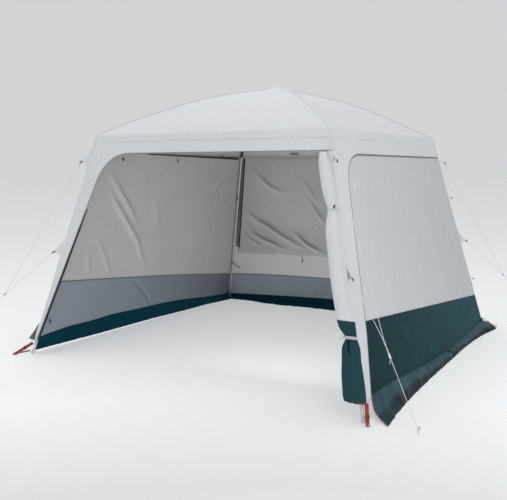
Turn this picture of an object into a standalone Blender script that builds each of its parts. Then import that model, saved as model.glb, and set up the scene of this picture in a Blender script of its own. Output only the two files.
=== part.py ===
"""A camping gazebo: cloth roof and walls over a frame of four leaning legs and two crossed arches.

The origin is at ground level under the crown. +X runs along the open front from left to right,
+Y runs to the rear and +Z is up. Every side is drawn as if it were the front, with u across it,
v up its slope and w out of it, and is then turned about the vertical axis to its place.
"""

from math import atan2, cos, hypot, pi, radians, sin

import bmesh
import bpy
from mathutils import Matrix, Vector

# Driving dimensions, in metres
BASE = 1.5                # from the centre to the line between two feet
EAVE_X = 1.058            # from the centre to the right and left eaves
EAVE_Y = 1.112            # from the centre to the front and rear eaves
EAVE_Z = 1.81             # height of the eaves
ROOF_RISE = 0.41          # crown above the eaves
ARCH_POWER = 1.55         # 2 would be a parabola, 1 a straight pyramid
ROOF_SAG = 0.012          # how far the cloth dips between the arches
FASCIA = 0.152            # depth of the band under the eave, down the slope
CLOTH = 0.002             # thickness that the cloth is drawn with
GAP = 0.0003              # between pieces that touch
SEAM_GAP = 0.0005         # between cloth edges that are sewn or zipped together

LEG_RADIUS = 0.0125
ARCH_RADIUS = 0.0065
ARCH_DROP = 0.0088        # arch centre line below the ridge of the cloth
LEG_TOP = 1.66            # height where the leg enters its corner joint
HUB_RADIUS = 0.036
HUB_HEIGHT = 0.026

DOOR_FOOT = 1.480         # from the middle to the doorway's zipped edge, on its left, at the ground
DOOR_TAPER = 0.336        # how much that narrows for each metre up the slope
WALL_ARCH_INSET = 0.188   # width of the leg band at a closed wall's zipped edge, on its left
FOOT_TAPER = 0.062        # how much that band narrows towards the ground
FOOT_TAPER_TOP = 0.50     # and where it begins to, up the slope
SEWN_BAND = 0.040         # width of the leg band at the other edge, where the wall or the rolled door is sewn
ARCH_FILLET = 0.245       # length of the round corner along each edge, on the left only
HEM = 0.018               # leg bands end this far above the ground
WALL_INSET = 0.028        # wall edges stay this far inside the corner lines
WALL_OVERLAP = 0.022      # wall top edge above the lower edge of the fascia
WALL_FOOT = 0.105         # wall cloth ends here and the ground flap begins
SEAM_FRONT = 0.59         # height of the colour seam at the front corners
SEAM_REAR = 0.32          # and at the rear corners
WINDOW_SILL = 0.612       # lower edge of the rear window, up the slope
WINDOW_HEAD = 0.030       # strip of wall over the window
WINDOW_JAMB_TOP = 0.060   # strip of wall beside the window, at its head
WINDOW_JAMB_FOOT = 0.090  # and at its sill

GUY_RADIUS = 0.002
GUY_TOP = 1.60            # heights where the guy lines leave a corner
GUY_LOW = 0.86
GUY_TAB = 0.055           # reach of the tabs that they pull on
GUY_JOINT = (1.63, 1.62, 0.515)
GUY_PEG = (2.0, 2.0)
NEAR_JOINT = (1.578, 1.406, 0.498)   # the front right line runs to a nearer peg
NEAR_PEG = (1.826, 1.481)
PEG_RADIUS = 0.0035
PEG_HEIGHT = 0.045
STRAP_WIDTH = 0.025
STRAP_THICKNESS = 0.0018
STRAP_TOP = 0.095
STRAP_REACH = 0.14
NEAR_STRAP_REACH = 0.045

SIDES = {"front": 0, "right": 90, "rear": 180, "left": 270}
CORNERS = {
    "front_left": (-1, -1),
    "front_right": (1, -1),
    "rear_right": (1, 1),
    "rear_left": (-1, 1),
}
ROOF_ROWS = 12
ROOF_COLUMNS = 8
CROWN_HOLE = 0.006        # share of each gore left out where the four points meet
ROUND = 12                # sides of a round tube

# The rolled door, from its head to its foot:
# slope height, distance from the centre, half width and half depth
ROLL_UPPER = [
    (1.680, 1.040, 0.022, 0.018),
    (1.620, 1.060, 0.033, 0.028),
    (1.545, 1.083, 0.038, 0.034),
    (1.470, 1.107, 0.040, 0.036),
    (1.390, 1.131, 0.034, 0.032),
    (1.300, 1.163, 0.025, 0.024),
    (1.240, 1.168, 0.041, 0.036),
    (1.150, 1.185, 0.053, 0.042),
    (1.060, 1.205, 0.054, 0.044),
    (0.950, 1.232, 0.055, 0.046),
    (0.790, 1.273, 0.055, 0.048),
    (0.640, 1.318, 0.058, 0.048),
]
ROLL_LOWER = [
    (0.6395, 1.318, 0.058, 0.048),
    (0.575, 1.338, 0.054, 0.044),
    (0.505, 1.366, 0.036, 0.028),
    (0.449, 1.380, 0.055, 0.044),
    (0.373, 1.394, 0.060, 0.050),
    (0.278, 1.415, 0.067, 0.052),
    (0.185, 1.435, 0.069, 0.052),
    (0.120, 1.446, 0.066, 0.048),
    (0.102, 1.448, 0.058, 0.042),
]
# Ground flaps: reach at the left end, in the middle and at the right end, outwards or, if negative,
# inwards, and how much further than the wall's hem the flap's edge runs at each end
FLAPS = {
    "right": (0.150, 0.075, 0.140, 0.125, 0.044),
    "rear": (-0.085, -0.085, -0.085, -0.100, -0.100),
    "left": (-0.090, -0.050, -0.012, -0.100, -0.020),
}

COLOURS = {
    # name: colour, roughness, metallic
    "roof_cloth": ((0.80, 0.81, 0.84), 0.70, 0.0),
    "wall_cloth": ((0.70, 0.72, 0.75), 0.75, 0.0),
    "teal_cloth": ((0.030, 0.085, 0.105), 0.75, 0.0),
    "flap_cloth": ((0.045, 0.110, 0.140), 0.55, 0.0),
    "window_cloth": ((0.33, 0.34, 0.35), 0.60, 0.0),
    "leg_steel": ((0.55, 0.56, 0.58), 0.35, 1.0),
    "arch_steel": ((0.50, 0.51, 0.53), 0.40, 1.0),
    "joint_plastic": ((0.03, 0.03, 0.035), 0.50, 0.0),
    "guy_cord": ((0.62, 0.62, 0.60), 0.80, 0.0),
    "peg_steel": ((0.45, 0.46, 0.48), 0.35, 1.0),
    "strap_webbing": ((0.55, 0.09, 0.05), 0.80, 0.0),
}


def clear_scene():
    for item in list(bpy.data.objects):
        bpy.data.objects.remove(item, do_unlink=True)


def make_materials():
    made = {}
    for name, (colour, roughness, metallic) in COLOURS.items():
        material = bpy.data.materials.new(name)
        material.use_nodes = True
        shader = material.node_tree.nodes["Principled BSDF"]
        shader.inputs["Base Color"].default_value = (*colour, 1.0)
        shader.inputs["Roughness"].default_value = roughness
        shader.inputs["Metallic"].default_value = metallic
        material.diffuse_color = (*colour, 1.0)
        made[name] = material
    return made


def add_object(name, data, material, collection):
    item = bpy.data.objects.new(name, data)
    data.materials.append(material)
    collection.objects.link(item)
    return item


def shade_round(mesh):
    mesh.shade_smooth()
    mesh.set_sharp_from_angle(angle=radians(40))


# Geometry of the sides

def side_size(side):
    """Half width of the eave and its distance from the centre."""
    return (EAVE_X, EAVE_Y) if side in ("front", "rear") else (EAVE_Y, EAVE_X)


def slope_length(side):
    return hypot(BASE - side_size(side)[1], EAVE_Z)


def slope_of(side, height):
    """Slope height v of a level height."""
    return height * slope_length(side) / EAVE_Z


def edge(side, v):
    """Half width between the corner lines at slope height v."""
    return BASE - (BASE - side_size(side)[0]) * v / slope_length(side)


def side_matrix(side):
    """Takes u, v and w of a side to the world."""
    lean = atan2(BASE - side_size(side)[1], EAVE_Z)
    turn = Matrix.Rotation(radians(SIDES[side]), 4, "Z")
    return turn @ Matrix.Translation((0, -BASE, 0)) @ Matrix.Rotation(pi / 2 - lean, 4, "X")


def corner_point(corner, height, out=0.0):
    """A point on a corner line, or as far out of it as asked, along the diagonal."""
    sx, sy = CORNERS[corner]
    rise = height / EAVE_Z
    x = BASE - (BASE - EAVE_X) * rise + out * cos(pi / 4)
    y = BASE - (BASE - EAVE_Y) * rise + out * sin(pi / 4)
    return Vector((sx * x, sy * y, height))


def leg_axis(corner, height):
    """The leg's centre, which sits inside the corner line by its radius and the cloth."""
    sx, sy = CORNERS[corner]
    point = corner_point(corner, height)
    lean_x = atan2(BASE - EAVE_X, EAVE_Z)
    lean_y = atan2(BASE - EAVE_Y, EAVE_Z)
    point.x -= sx * (LEG_RADIUS + (CLOTH + GAP) / cos(lean_x))
    point.y -= sy * (LEG_RADIUS + (CLOTH + GAP) / cos(lean_y))
    return point


def roof_height(t):
    """Height of the roof cloth, from the crown at t = 0 to the eave at t = 1."""
    return EAVE_Z + ROOF_RISE * (1 - t ** ARCH_POWER)


def roof_middle(t):
    """Height of the roof cloth halfway between two arches."""
    return roof_height(t) - ROOF_SAG * 4 * t * (1 - t)


def arch_point(corner, t):
    sx, sy = CORNERS[corner]
    return Vector((sx * EAVE_X * t, sy * EAVE_Y * t, roof_height(t) - ARCH_DROP))


# Ways of making a solid

def plate(name, side, outlines, depth, thickness, material, collection):
    """A flat sheet in the plane of a side, its outer face the given depth behind that plane."""
    curve = bpy.data.curves.new(name, "CURVE")
    curve.dimensions = "2D"
    curve.fill_mode = "BOTH"
    curve.extrude = thickness / 2
    curve.render_resolution_u = 0
    for outline in outlines:
        spline = curve.splines.new("POLY")
        spline.points.add(len(outline) - 1)
        for point, (u, v) in zip(spline.points, outline):
            point.co = (u, v, 0, 1)
        spline.use_cyclic_u = True
    item = add_object(name, curve, material, collection)
    item.matrix_world = side_matrix(side) @ Matrix.Translation((0, 0, -depth - thickness / 2))
    return item


def loft(name, rings, material, collection):
    """A closed solid through rings of the same number of points, with flat ends."""
    mesh = bpy.data.meshes.new(name)
    shape = bmesh.new()
    made = [[shape.verts.new(point) for point in ring] for ring in rings]
    count = len(made[0])
    for low, high in zip(made, made[1:]):
        for k in range(count):
            after = (k + 1) % count
            shape.faces.new((low[k], low[after], high[after], high[k]))
    shape.faces.new(made[0][::-1])
    shape.faces.new(made[-1])
    bmesh.ops.recalc_face_normals(shape, faces=shape.faces)
    shape.to_mesh(mesh)
    shape.free()
    shade_round(mesh)
    return add_object(name, mesh, material, collection)


def round_ring(centre, normal, side_axis, radius):
    """A ring about centre, square to normal. side_axis keeps the rings of a loft in step."""
    across = side_axis.normalized()
    over = normal.cross(across).normalized()
    steps = [2 * pi * (k + 0.5) / ROUND for k in range(ROUND)]
    return [centre + radius * (cos(a) * across + sin(a) * over) for a in steps]


def tube(name, points, radius, material, collection, resolution=2):
    """A round tube along straight runs between points."""
    curve = bpy.data.curves.new(name, "CURVE")
    curve.dimensions = "3D"
    curve.bevel_depth = radius
    curve.bevel_resolution = resolution
    curve.use_fill_caps = True
    curve.render_resolution_u = 0
    spline = curve.splines.new("POLY")
    spline.points.add(len(points) - 1)
    for point, place in zip(spline.points, points):
        point.co = (*place, 1)
    return add_object(name, curve, material, collection)


# The frame

def make_leg(corner, materials, collection):
    """A straight tube cut level at the ground, so it stands on a flat end."""
    foot, top = leg_axis(corner, 0.0), leg_axis(corner, LEG_TOP)
    shape = bmesh.new()
    bmesh.ops.create_cone(
        shape, cap_ends=True, segments=16, radius1=LEG_RADIUS, radius2=LEG_RADIUS, depth=1.0
    )
    for vert in shape.verts:
        vert.co += (top if vert.co.z > 0 else foot) - Vector((0, 0, vert.co.z))
    mesh = bpy.data.meshes.new(f"leg_pole_{corner}")
    shape.to_mesh(mesh)
    shape.free()
    shade_round(mesh)
    return add_object(mesh.name, mesh, materials["leg_steel"], collection)


def make_corner_joint(corner, materials, collection):
    """The plastic joint that turns the leg into the arch: as thick as each at its ends."""
    sx, sy = CORNERS[corner]
    across = Vector((-sy, sx, 0))
    up = Vector((0, 0, 1))
    start = (arch_point(corner, 0.925) - arch_point(corner, 0.95)).normalized()
    bend = leg_axis(corner, 1.775)
    stations = [
        (leg_axis(corner, LEG_TOP + GAP), up, LEG_RADIUS),
        (leg_axis(corner, 1.745), up, LEG_RADIUS),
        (bend, (up * 1.6 + start).normalized(), 0.0118),
        (arch_point(corner, 0.972) - Vector((0, 0, 0.006)), (up * 0.5 + start).normalized(), 0.0095),
        (arch_point(corner, 0.95), start, ARCH_RADIUS),
        (arch_point(corner, 0.925), start, ARCH_RADIUS),
    ]
    rings = [round_ring(centre, normal, across, radius) for centre, normal, radius in stations]
    return loft(f"corner_joint_{corner}", rings, materials["joint_plastic"], collection)


def make_roof_arch(corner, materials, collection):
    """Half of a crossed arch, from the corner joint to the crown hub."""
    sx, sy = CORNERS[corner]
    across = Vector((-sy, sx, 0))
    flat_end = (HUB_RADIUS + GAP) / hypot(EAVE_X, EAVE_Y)
    places = [0.925] + [row / ROOF_ROWS for row in range(ROOF_ROWS - 1, 0, -1)] + [flat_end]
    rings = []
    for k, t in enumerate(places):
        if k == 0:
            ahead = (arch_point(corner, 0.925) - arch_point(corner, 0.95)).normalized()
            centre = arch_point(corner, t) + ahead * GAP
        else:
            ahead = (arch_point(corner, t - 0.01) - arch_point(corner, t + 0.01)).normalized()
            centre = arch_point(corner, t)
        if t == flat_end:
            ahead = Vector((-sx * EAVE_X, -sy * EAVE_Y, 0)).normalized()
        rings.append(round_ring(centre, ahead, across, ARCH_RADIUS))
    return loft(f"roof_arch_{corner}", rings, materials["arch_steel"], collection)


def make_crown_hub(materials, collection):
    """The round hub where the four half arches meet."""
    mesh = bpy.data.meshes.new("crown_hub")
    shape = bmesh.new()
    bmesh.ops.create_cone(
        shape, cap_ends=True, segments=32, radius1=HUB_RADIUS, radius2=HUB_RADIUS, depth=HUB_HEIGHT
    )
    next_row = 1 / ROOF_ROWS
    share = (HUB_RADIUS / EAVE_X - CROWN_HOLE) / (next_row - CROWN_HOLE)
    cloth = roof_middle(CROWN_HOLE) * (1 - share) + roof_middle(next_row) * share
    bmesh.ops.translate(shape, verts=shape.verts, vec=(0, 0, cloth - GAP - HUB_HEIGHT / 2))
    shape.to_mesh(mesh)
    shape.free()
    shade_round(mesh)
    return add_object("crown_hub", mesh, materials["joint_plastic"], collection)


# The roof

def make_roof_gore(side, materials, collection):
    """One of the four roof panels: a sheet stretched between two arches."""
    half, reach = side_size(side)
    shape = bmesh.new()
    bmesh.ops.create_grid(shape, x_segments=ROOF_COLUMNS, y_segments=ROOF_ROWS, size=1.0)
    for vert in shape.verts:
        s = vert.co.x
        t = max((1 - vert.co.y) / 2, CROWN_HOLE)
        width = half * t - SEAM_GAP
        sag = ROOF_SAG * (1 - s * s) * 4 * t * (1 - t)
        vert.co = (s * width, -reach * t, roof_height(t) + GAP - sag)
    mesh = bpy.data.meshes.new(f"roof_{side}")
    shape.to_mesh(mesh)
    shape.free()
    mesh.shade_smooth()
    item = add_object(mesh.name, mesh, materials["roof_cloth"], collection)
    item.rotation_euler.z = radians(SIDES[side])
    shell = item.modifiers.new("Thickness", "SOLIDIFY")
    shell.thickness = CLOTH
    shell.offset = 1
    return item


# The sides

def doorway_edge(side, v, sign=-1):
    """Distance from the middle to the cut-out's edge: -1 is the zipped edge on the left, 1 the sewn one."""
    if sign > 0:
        return edge(side, v) - SEWN_BAND
    if side == "front":
        return DOOR_FOOT - DOOR_TAPER * v
    return edge(side, v) - WALL_ARCH_INSET + FOOT_TAPER * max(0.0, 1 - v / FOOT_TAPER_TOP)


def arch_outline(side, foot):
    """The cut-out, from its foot on the right over the top to its foot on the left."""
    head = slope_length(side) - FASCIA
    corner = Vector((doorway_edge(side, head), head))
    low = head - ARCH_FILLET
    begin = Vector((doorway_edge(side, low), low))
    end = Vector((corner.x - ARCH_FILLET, head))
    left = [
        Vector((doorway_edge(side, foot), foot)),
        Vector((doorway_edge(side, FOOT_TAPER_TOP), FOOT_TAPER_TOP)),
    ]
    for step in range(9):
        k = step / 8
        left.append(begin.lerp(corner, k).lerp(corner.lerp(end, k), k))
    right = [(doorway_edge(side, foot, 1), foot), (doorway_edge(side, head, 1), head)]
    return right + [(-point.x, point.y) for point in reversed(left)]


def make_surround(side, materials, collection):
    """Fascia and leg bands in one, round the arched cut-out."""
    top = slope_length(side)
    tuck = 0.0 if side in ("front", "rear") else CLOTH + SEAM_GAP
    outer = [
        (-edge(side, HEM) + tuck, HEM),
        (-edge(side, top) + tuck, top),
        (edge(side, top) - tuck, top),
        (edge(side, HEM) - tuck, HEM),
    ]
    return plate(
        f"{side}_surround", side, [outer + arch_outline(side, HEM)], 0, CLOTH,
        materials["roof_cloth"], collection,
    )


def seam_height(side, u):
    """Slope height of the colour seam, which drops from the front corners to the rear ones."""
    if side == "rear":
        return slope_of(side, SEAM_REAR)
    share = 0.5 + u / (2 * BASE) * (1 if side == "right" else -1)
    return slope_of(side, SEAM_FRONT + (SEAM_REAR - SEAM_FRONT) * share)


def wall_edge(side, v):
    return edge(side, v) - WALL_INSET


def wall_head(side):
    return slope_length(side) - FASCIA + WALL_OVERLAP


def wall_seam_ends(side):
    """Where the colour seam meets the left and the right edge of a wall."""
    ends = []
    for sign in (-1, 1):
        u = sign * wall_edge(side, seam_height(side, 0))
        u = sign * wall_edge(side, seam_height(side, u))
        ends.append((u, seam_height(side, u)))
    return ends


def make_wall(side, materials, collection):
    """A wall's pale upper and dark lower cloth, which hang just inside the surround."""
    head = wall_head(side)
    left, right = wall_seam_ends(side)
    upper = [
        (left[0], left[1] + SEAM_GAP),
        (right[0], right[1] + SEAM_GAP),
        (wall_edge(side, head), head),
        (-wall_edge(side, head), head),
    ]
    lower = [
        (-wall_edge(side, WALL_FOOT), WALL_FOOT),
        (wall_edge(side, WALL_FOOT), WALL_FOOT),
        right,
        left,
    ]
    depth = CLOTH + GAP
    cuts = [upper]
    if side == "rear":
        cuts.append(window_outline(side, 0.0))
    plate(f"{side}_wall_upper", side, cuts, depth, CLOTH, materials["wall_cloth"], collection)
    plate(f"{side}_wall_lower", side, [lower], depth, CLOTH, materials["teal_cloth"], collection)


def window_outline(side, shrink):
    head = wall_head(side) - WINDOW_HEAD - shrink
    sill = WINDOW_SILL + shrink
    foot_half = edge(side, sill) - WINDOW_JAMB_FOOT - shrink
    head_half = edge(side, head) - WINDOW_JAMB_TOP - shrink
    return [(-foot_half, sill), (foot_half, sill), (head_half, head), (-head_half, head)]


def make_window(materials, collection):
    """The closed curtain of the rear window."""
    plate(
        "rear_window_curtain", "rear", [window_outline("rear", SEAM_GAP)], CLOTH + GAP, CLOTH,
        materials["window_cloth"], collection,
    )


def make_ground_flap(side, materials, collection):
    """The flap at a wall's foot: it runs down to the ground, outwards or inwards.

    A flap that runs out passes between the leg bands and then widens. One that folds in
    narrows, and tips its thickness up against the wall's edge.
    """
    left_reach, mid_reach, right_reach, left_spread, right_spread = FLAPS[side]
    if mid_reach > 0:
        top = WALL_FOOT - SEAM_GAP
        left_hem = doorway_edge(side, WALL_FOOT) - 0.006
        right_hem = doorway_edge(side, WALL_FOOT, 1) - 0.006
        low = CLOTH
    else:
        top = WALL_FOOT - SEAM_GAP - 0.75 * CLOTH
        left_hem = right_hem = wall_edge(side, WALL_FOOT)
        low = GAP
    to_world = side_matrix(side)
    hem = to_world @ Vector((0, top, -CLOTH - GAP))
    out = to_world.to_3x3() @ Vector((0, 0, 1))
    out.z = 0
    out.normalize()
    along = to_world.to_3x3() @ Vector((1, 0, 0))
    shape = bmesh.new()
    bmesh.ops.create_grid(shape, x_segments=12, y_segments=4, size=0.5)
    for vert in shape.verts:
        down = 0.5 - vert.co.y
        t = 2 * vert.co.x
        left = -left_hem - left_spread * down ** 2
        right = right_hem + right_spread * down ** 2
        bend = (left_reach + right_reach) / 2 - mid_reach
        reach = mid_reach + (right_reach - left_reach) / 2 * t + bend * t ** 2
        run = out * reach * down ** 1.3
        level = (hem.z - low) * (1 - down) + low
        across = left + (right - left) * (t + 1) / 2
        vert.co = along * across + Vector((hem.x, hem.y, level)) + run
    mesh = bpy.data.meshes.new(f"{side}_ground_flap")
    shape.to_mesh(mesh)
    shape.free()
    mesh.shade_smooth()
    item = add_object(mesh.name, mesh, materials["flap_cloth"], collection)
    shell = item.modifiers.new("Thickness", "SOLIDIFY")
    shell.thickness = CLOTH
    shell.offset = -1
    return item


# The rolled door

def roll_rings(stations):
    """Rings of the roll, which lies against the outer face of the front surround."""
    to_world = side_matrix("front")
    rings = []
    for v, u, half_width, half_depth in stations:
        ring = []
        for k in range(ROUND):
            a = 2 * pi * k / ROUND
            w = half_depth * (1 + sin(a)) + 2 * GAP
            ring.append(to_world @ Vector((u + half_width * cos(a), v, w)))
        rings.append(ring)
    return rings


def make_rolled_door(materials, collection):
    loft("rolled_door_upper", roll_rings(ROLL_UPPER), materials["wall_cloth"], collection)
    loft("rolled_door_lower", roll_rings(ROLL_LOWER), materials["teal_cloth"], collection)


# Guy lines, pegs and straps

def to_mesh_object(item):
    """Turns a curve object into a mesh object that a Boolean can use."""
    bpy.context.view_layer.update()
    evaluated = item.evaluated_get(bpy.context.evaluated_depsgraph_get())
    mesh = bpy.data.meshes.new_from_object(evaluated)
    shape = bmesh.new()
    shape.from_mesh(mesh)
    bmesh.ops.remove_doubles(shape, verts=shape.verts, dist=0.00001)
    bmesh.ops.recalc_face_normals(shape, faces=shape.faces)
    shape.to_mesh(mesh)
    shape.free()
    made = bpy.data.objects.new(item.name + "_solid", mesh)
    made.matrix_world = item.matrix_world.copy()
    bpy.data.objects.remove(item, do_unlink=True)
    return made


def block(name, centre, direction, size, collection):
    """A small box whose long side lies along direction."""
    shape = bmesh.new()
    bmesh.ops.create_cube(shape, size=1.0)
    turn = direction.to_track_quat("Z", "Y").to_matrix().to_4x4()
    scale = Matrix.Diagonal((*size, 1.0))
    bmesh.ops.transform(shape, matrix=Matrix.Translation(centre) @ turn @ scale, verts=shape.verts)
    mesh = bpy.data.meshes.new(name)
    shape.to_mesh(mesh)
    shape.free()
    item = bpy.data.objects.new(name, mesh)
    collection.objects.link(item)
    return item


def make_guy_line(corner, materials, collection, tools):
    """A forked guy line, from two tabs on the corner through its ring and runner to the peg."""
    sx, sy = CORNERS[corner]
    near = corner == "front_right"
    joint = NEAR_JOINT if near else GUY_JOINT
    peg = NEAR_PEG if near else GUY_PEG
    ring = Vector((sx * joint[0], sy * joint[1], joint[2]))
    ground = Vector((sx * peg[0], sy * peg[1], 0.020))
    ahead = (ground - ring).normalized()
    clear = PEG_RADIUS + GAP + GUY_RADIUS * abs(ahead.z)
    end = ground - ahead * (clear / hypot(ahead.x, ahead.y))
    low_tab = corner_point(corner, GUY_LOW, GUY_TAB)
    if near:
        low_tab = Vector((1.330, -1.336, GUY_LOW))
    cord = materials["guy_cord"]
    runs = [
        tube("fork_top", [corner_point(corner, GUY_TOP, 2 * GAP),
                          corner_point(corner, GUY_TOP, GUY_TAB), ring], GUY_RADIUS, cord, tools),
        tube("fork_low", [corner_point(corner, GUY_LOW, 2 * GAP), low_tab, ring],
             GUY_RADIUS, cord, tools),
        tube("main_run", [ring, end], GUY_RADIUS, cord, tools),
    ]
    solids = [to_mesh_object(run) for run in runs]
    base = block(f"guy_line_{corner}", ring, ahead, (0.010, 0.007, 0.014), collection)
    base.data.materials.append(cord)
    runner = block("runner", ring.lerp(ground, 0.16), ahead, (0.012, 0.006, 0.030), tools)
    for solid in solids:
        tools.objects.link(solid)
    for cutter in solids + [runner]:
        cutter.hide_render = True
        cutter.display_type = "WIRE"
        union = base.modifiers.new("Join " + cutter.name, "BOOLEAN")
        union.operation = "UNION"
        union.solver = "EXACT"
        union.object = cutter
    return base


def make_peg(corner, materials, collection):
    """The part of a hooked wire peg that stands above the ground."""
    sx, sy = CORNERS[corner]
    x, y = NEAR_PEG if corner == "front_right" else GUY_PEG
    foot = Vector((sx * x, sy * y, 0))
    away = Vector((sx, sy, 0)).normalized()
    hook = [foot, foot + Vector((0, 0, PEG_HEIGHT * 0.75))]
    reach = 0.012
    for step in range(1, 7):
        a = pi * step / 6
        centre = foot + Vector((0, 0, PEG_HEIGHT * 0.75)) + away * reach
        hook.append(centre + Vector((0, 0, sin(a) * reach)) - away * (cos(a) * reach))
    return tube(f"guy_peg_{corner}", hook, PEG_RADIUS, materials["peg_steel"], collection)


def make_corner_strap(corner, materials, collection):
    """Webbing from the foot of a corner to its own peg hole just outside."""
    sx, sy = CORNERS[corner]
    reach = NEAR_STRAP_REACH if corner == "front_right" else STRAP_REACH
    out = Vector((sx, sy, 0)).normalized()
    across = Vector((-sy, sx, 0)).normalized() * (STRAP_WIDTH / 2)
    ground = corner_point(corner, 0.0, reach)
    ground.z = 0.002
    points = [corner_point(corner, STRAP_TOP, 3 * GAP), ground, ground + out * 0.022]
    thick = Vector((0, 0, STRAP_THICKNESS))
    rings = [[p - across, p + across, p + across + thick, p - across + thick] for p in points]
    item = loft(f"corner_strap_{corner}", rings, materials["strap_webbing"], collection)
    return item


def main():
    clear_scene()
    scene = bpy.context.scene
    collection = bpy.data.collections.new("camping_gazebo")
    tools = bpy.data.collections.new("cutters")
    scene.collection.children.link(collection)
    scene.collection.children.link(tools)
    materials = make_materials()
    for corner in CORNERS:
        make_leg(corner, materials, collection)
        make_corner_joint(corner, materials, collection)
        make_roof_arch(corner, materials, collection)
    make_crown_hub(materials, collection)
    for side in SIDES:
        make_roof_gore(side, materials, collection)
        make_surround(side, materials, collection)
    for side in ("right", "rear", "left"):
        make_wall(side, materials, collection)
    make_window(materials, collection)
    for side in FLAPS:
        make_ground_flap(side, materials, collection)
    make_rolled_door(materials, collection)
    for corner in CORNERS:
        make_guy_line(corner, materials, collection, tools)
        make_peg(corner, materials, collection)
        make_corner_strap(corner, materials, collection)


main()
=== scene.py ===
"""The visible camping gazebo: cloth, seams, zips, door roll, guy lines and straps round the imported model.

The origin is at ground level under the crown. +X runs along the open front, +Y to the rear and +Z up.
Every side is drawn as if it were the front, with u across it, v up its slope and w out of it.
Lengths are in metres. The file is laid out as an add-on and is run as a script.
"""

from contextlib import contextmanager
from math import atan2, cos, exp, hypot, pi, radians, sin

import bmesh
import bpy
from bpy.props import FloatProperty, FloatVectorProperty, IntProperty, PointerProperty
from mathutils import Matrix, Vector, noise


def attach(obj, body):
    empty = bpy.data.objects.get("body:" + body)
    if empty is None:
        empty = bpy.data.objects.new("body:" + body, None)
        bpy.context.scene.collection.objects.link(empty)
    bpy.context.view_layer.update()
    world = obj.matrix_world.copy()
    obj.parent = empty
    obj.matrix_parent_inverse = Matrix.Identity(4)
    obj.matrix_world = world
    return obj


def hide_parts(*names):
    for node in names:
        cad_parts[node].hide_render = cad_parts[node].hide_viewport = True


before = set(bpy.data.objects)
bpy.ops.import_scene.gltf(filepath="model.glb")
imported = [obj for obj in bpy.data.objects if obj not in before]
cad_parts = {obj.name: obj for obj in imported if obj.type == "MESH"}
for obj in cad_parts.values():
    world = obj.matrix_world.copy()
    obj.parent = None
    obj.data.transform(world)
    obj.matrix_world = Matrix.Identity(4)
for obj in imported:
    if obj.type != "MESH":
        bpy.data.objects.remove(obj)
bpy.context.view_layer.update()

bl_info = {
    "name": "Camping gazebo",
    "version": (1, 0, 0),
    "blender": (4, 5, 0),
    "location": "View3D > Sidebar > Gazebo",
    "description": "Dresses the packed camping gazebo with cloth, seams, zips, cords and webbing",
    "category": "Object",
}

# The shelter's shape, as in the part's source
BASE = 1.5                # half width at the ground, to the corner lines
EAVE_X = 1.058            # half widths at the eave
EAVE_Y = 1.112
EAVE_Z = 1.81
ROOF_RISE = 0.41          # the crown over the eave
ARCH_POWER = 1.55         # how round the arches are: 1 is straight
ROOF_SAG = 0.012          # of the panels between two arches
EAVE_FOLD = 0.012         # the roof cloth turns down over this length at the eave
FASCIA = 0.152
CLOTH = 0.002             # thickness of the solids that the cloth stands for
GAP = 0.0003              # between two solids that touch
LEG_RADIUS = 0.0125

# Cut-outs of the sides
DOOR_FOOT = 1.48          # the doorway's left edge at the ground, and how it closes up the slope
DOOR_TAPER = 0.336
WALL_ARCH_INSET = 0.188   # width of a wall side's left leg band, which narrows towards its foot
FOOT_TAPER = 0.062
FOOT_TAPER_TOP = 0.5
SEWN_BAND = 0.04          # width of the leg band to which a wall or the door is sewn
ARCH_FILLET = 0.245       # reach of the round upper corner
RIGHT_HEAD_DROP = 0.02    # the right cut-out's head is this much lower than the others
BAND_FOOT = 0.106         # the leg bands end here, and the pole goes on alone

# Walls and the rear window
WALL_INSET = 0.028        # from the corner line to a wall's free edge
WALL_OVERLAP = 0.022      # of a wall and the fascia
WALL_FOOT = 0.105
WINDOW_SILL = 0.612
WINDOW_HEAD = 0.03        # below the wall's head
WINDOW_JAMB_TOP = 0.06    # from the corner line
WINDOW_JAMB_FOOT = 0.09

# Guy lines and straps. The front right ones are nearer to their corner.
GUY_TOP = 1.6
GUY_LOW = 0.86
GUY_TAB = 0.055
GUY_JOINT = (1.63, 1.62, 0.515)
GUY_PEG = (2.0, 2.0)
NEAR_JOINT = (1.578, 1.406, 0.498)
NEAR_PEG = (1.826, 1.481)
NEAR_LOW_TAB = (1.33, -1.336, 0.86)
STRAP_TOP = 0.095
STRAP_REACH = 0.125
NEAR_STRAP_REACH = 0.045

UP = Vector((0, 0, 1))
SIDES = {"front": 0, "right": 90, "rear": 180, "left": 270}
WALLS = ("right", "rear", "left")
CORNERS = {
    "front_left": (-1, -1),
    "front_right": (1, -1),
    "rear_right": (1, 1),
    "rear_left": (-1, 1),
}

# Slope height, distance from the centre, half width and half depth of the rolled door
ROLL_UPPER = [
    (1.68, 1.036, 0.026, 0.018),
    (1.62, 1.056, 0.037, 0.028),
    (1.545, 1.079, 0.042, 0.034),
    (1.47, 1.102, 0.045, 0.036),
    (1.39, 1.124, 0.041, 0.033),
    (1.3, 1.153, 0.033, 0.027),
    (1.24, 1.166, 0.043, 0.036),
    (1.15, 1.184, 0.054, 0.042),
    (1.06, 1.205, 0.054, 0.044),
    (0.95, 1.232, 0.055, 0.046),
    (0.79, 1.273, 0.055, 0.048),
    (0.609, 1.328, 0.057, 0.047),
]
ROLL_LOWER = [
    (0.6085, 1.328, 0.057, 0.047),
    (0.56, 1.343, 0.051, 0.042),
    (0.505, 1.366, 0.036, 0.028),
    (0.449, 1.38, 0.055, 0.044),
    (0.373, 1.394, 0.06, 0.05),
    (0.278, 1.413, 0.069, 0.052),
    (0.2, 1.43, 0.072, 0.052),
    (0.145, 1.44, 0.07, 0.05),
    (0.126, 1.443, 0.064, 0.046),
]
ROLL_TIES = (1.3, 0.505)

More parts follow.
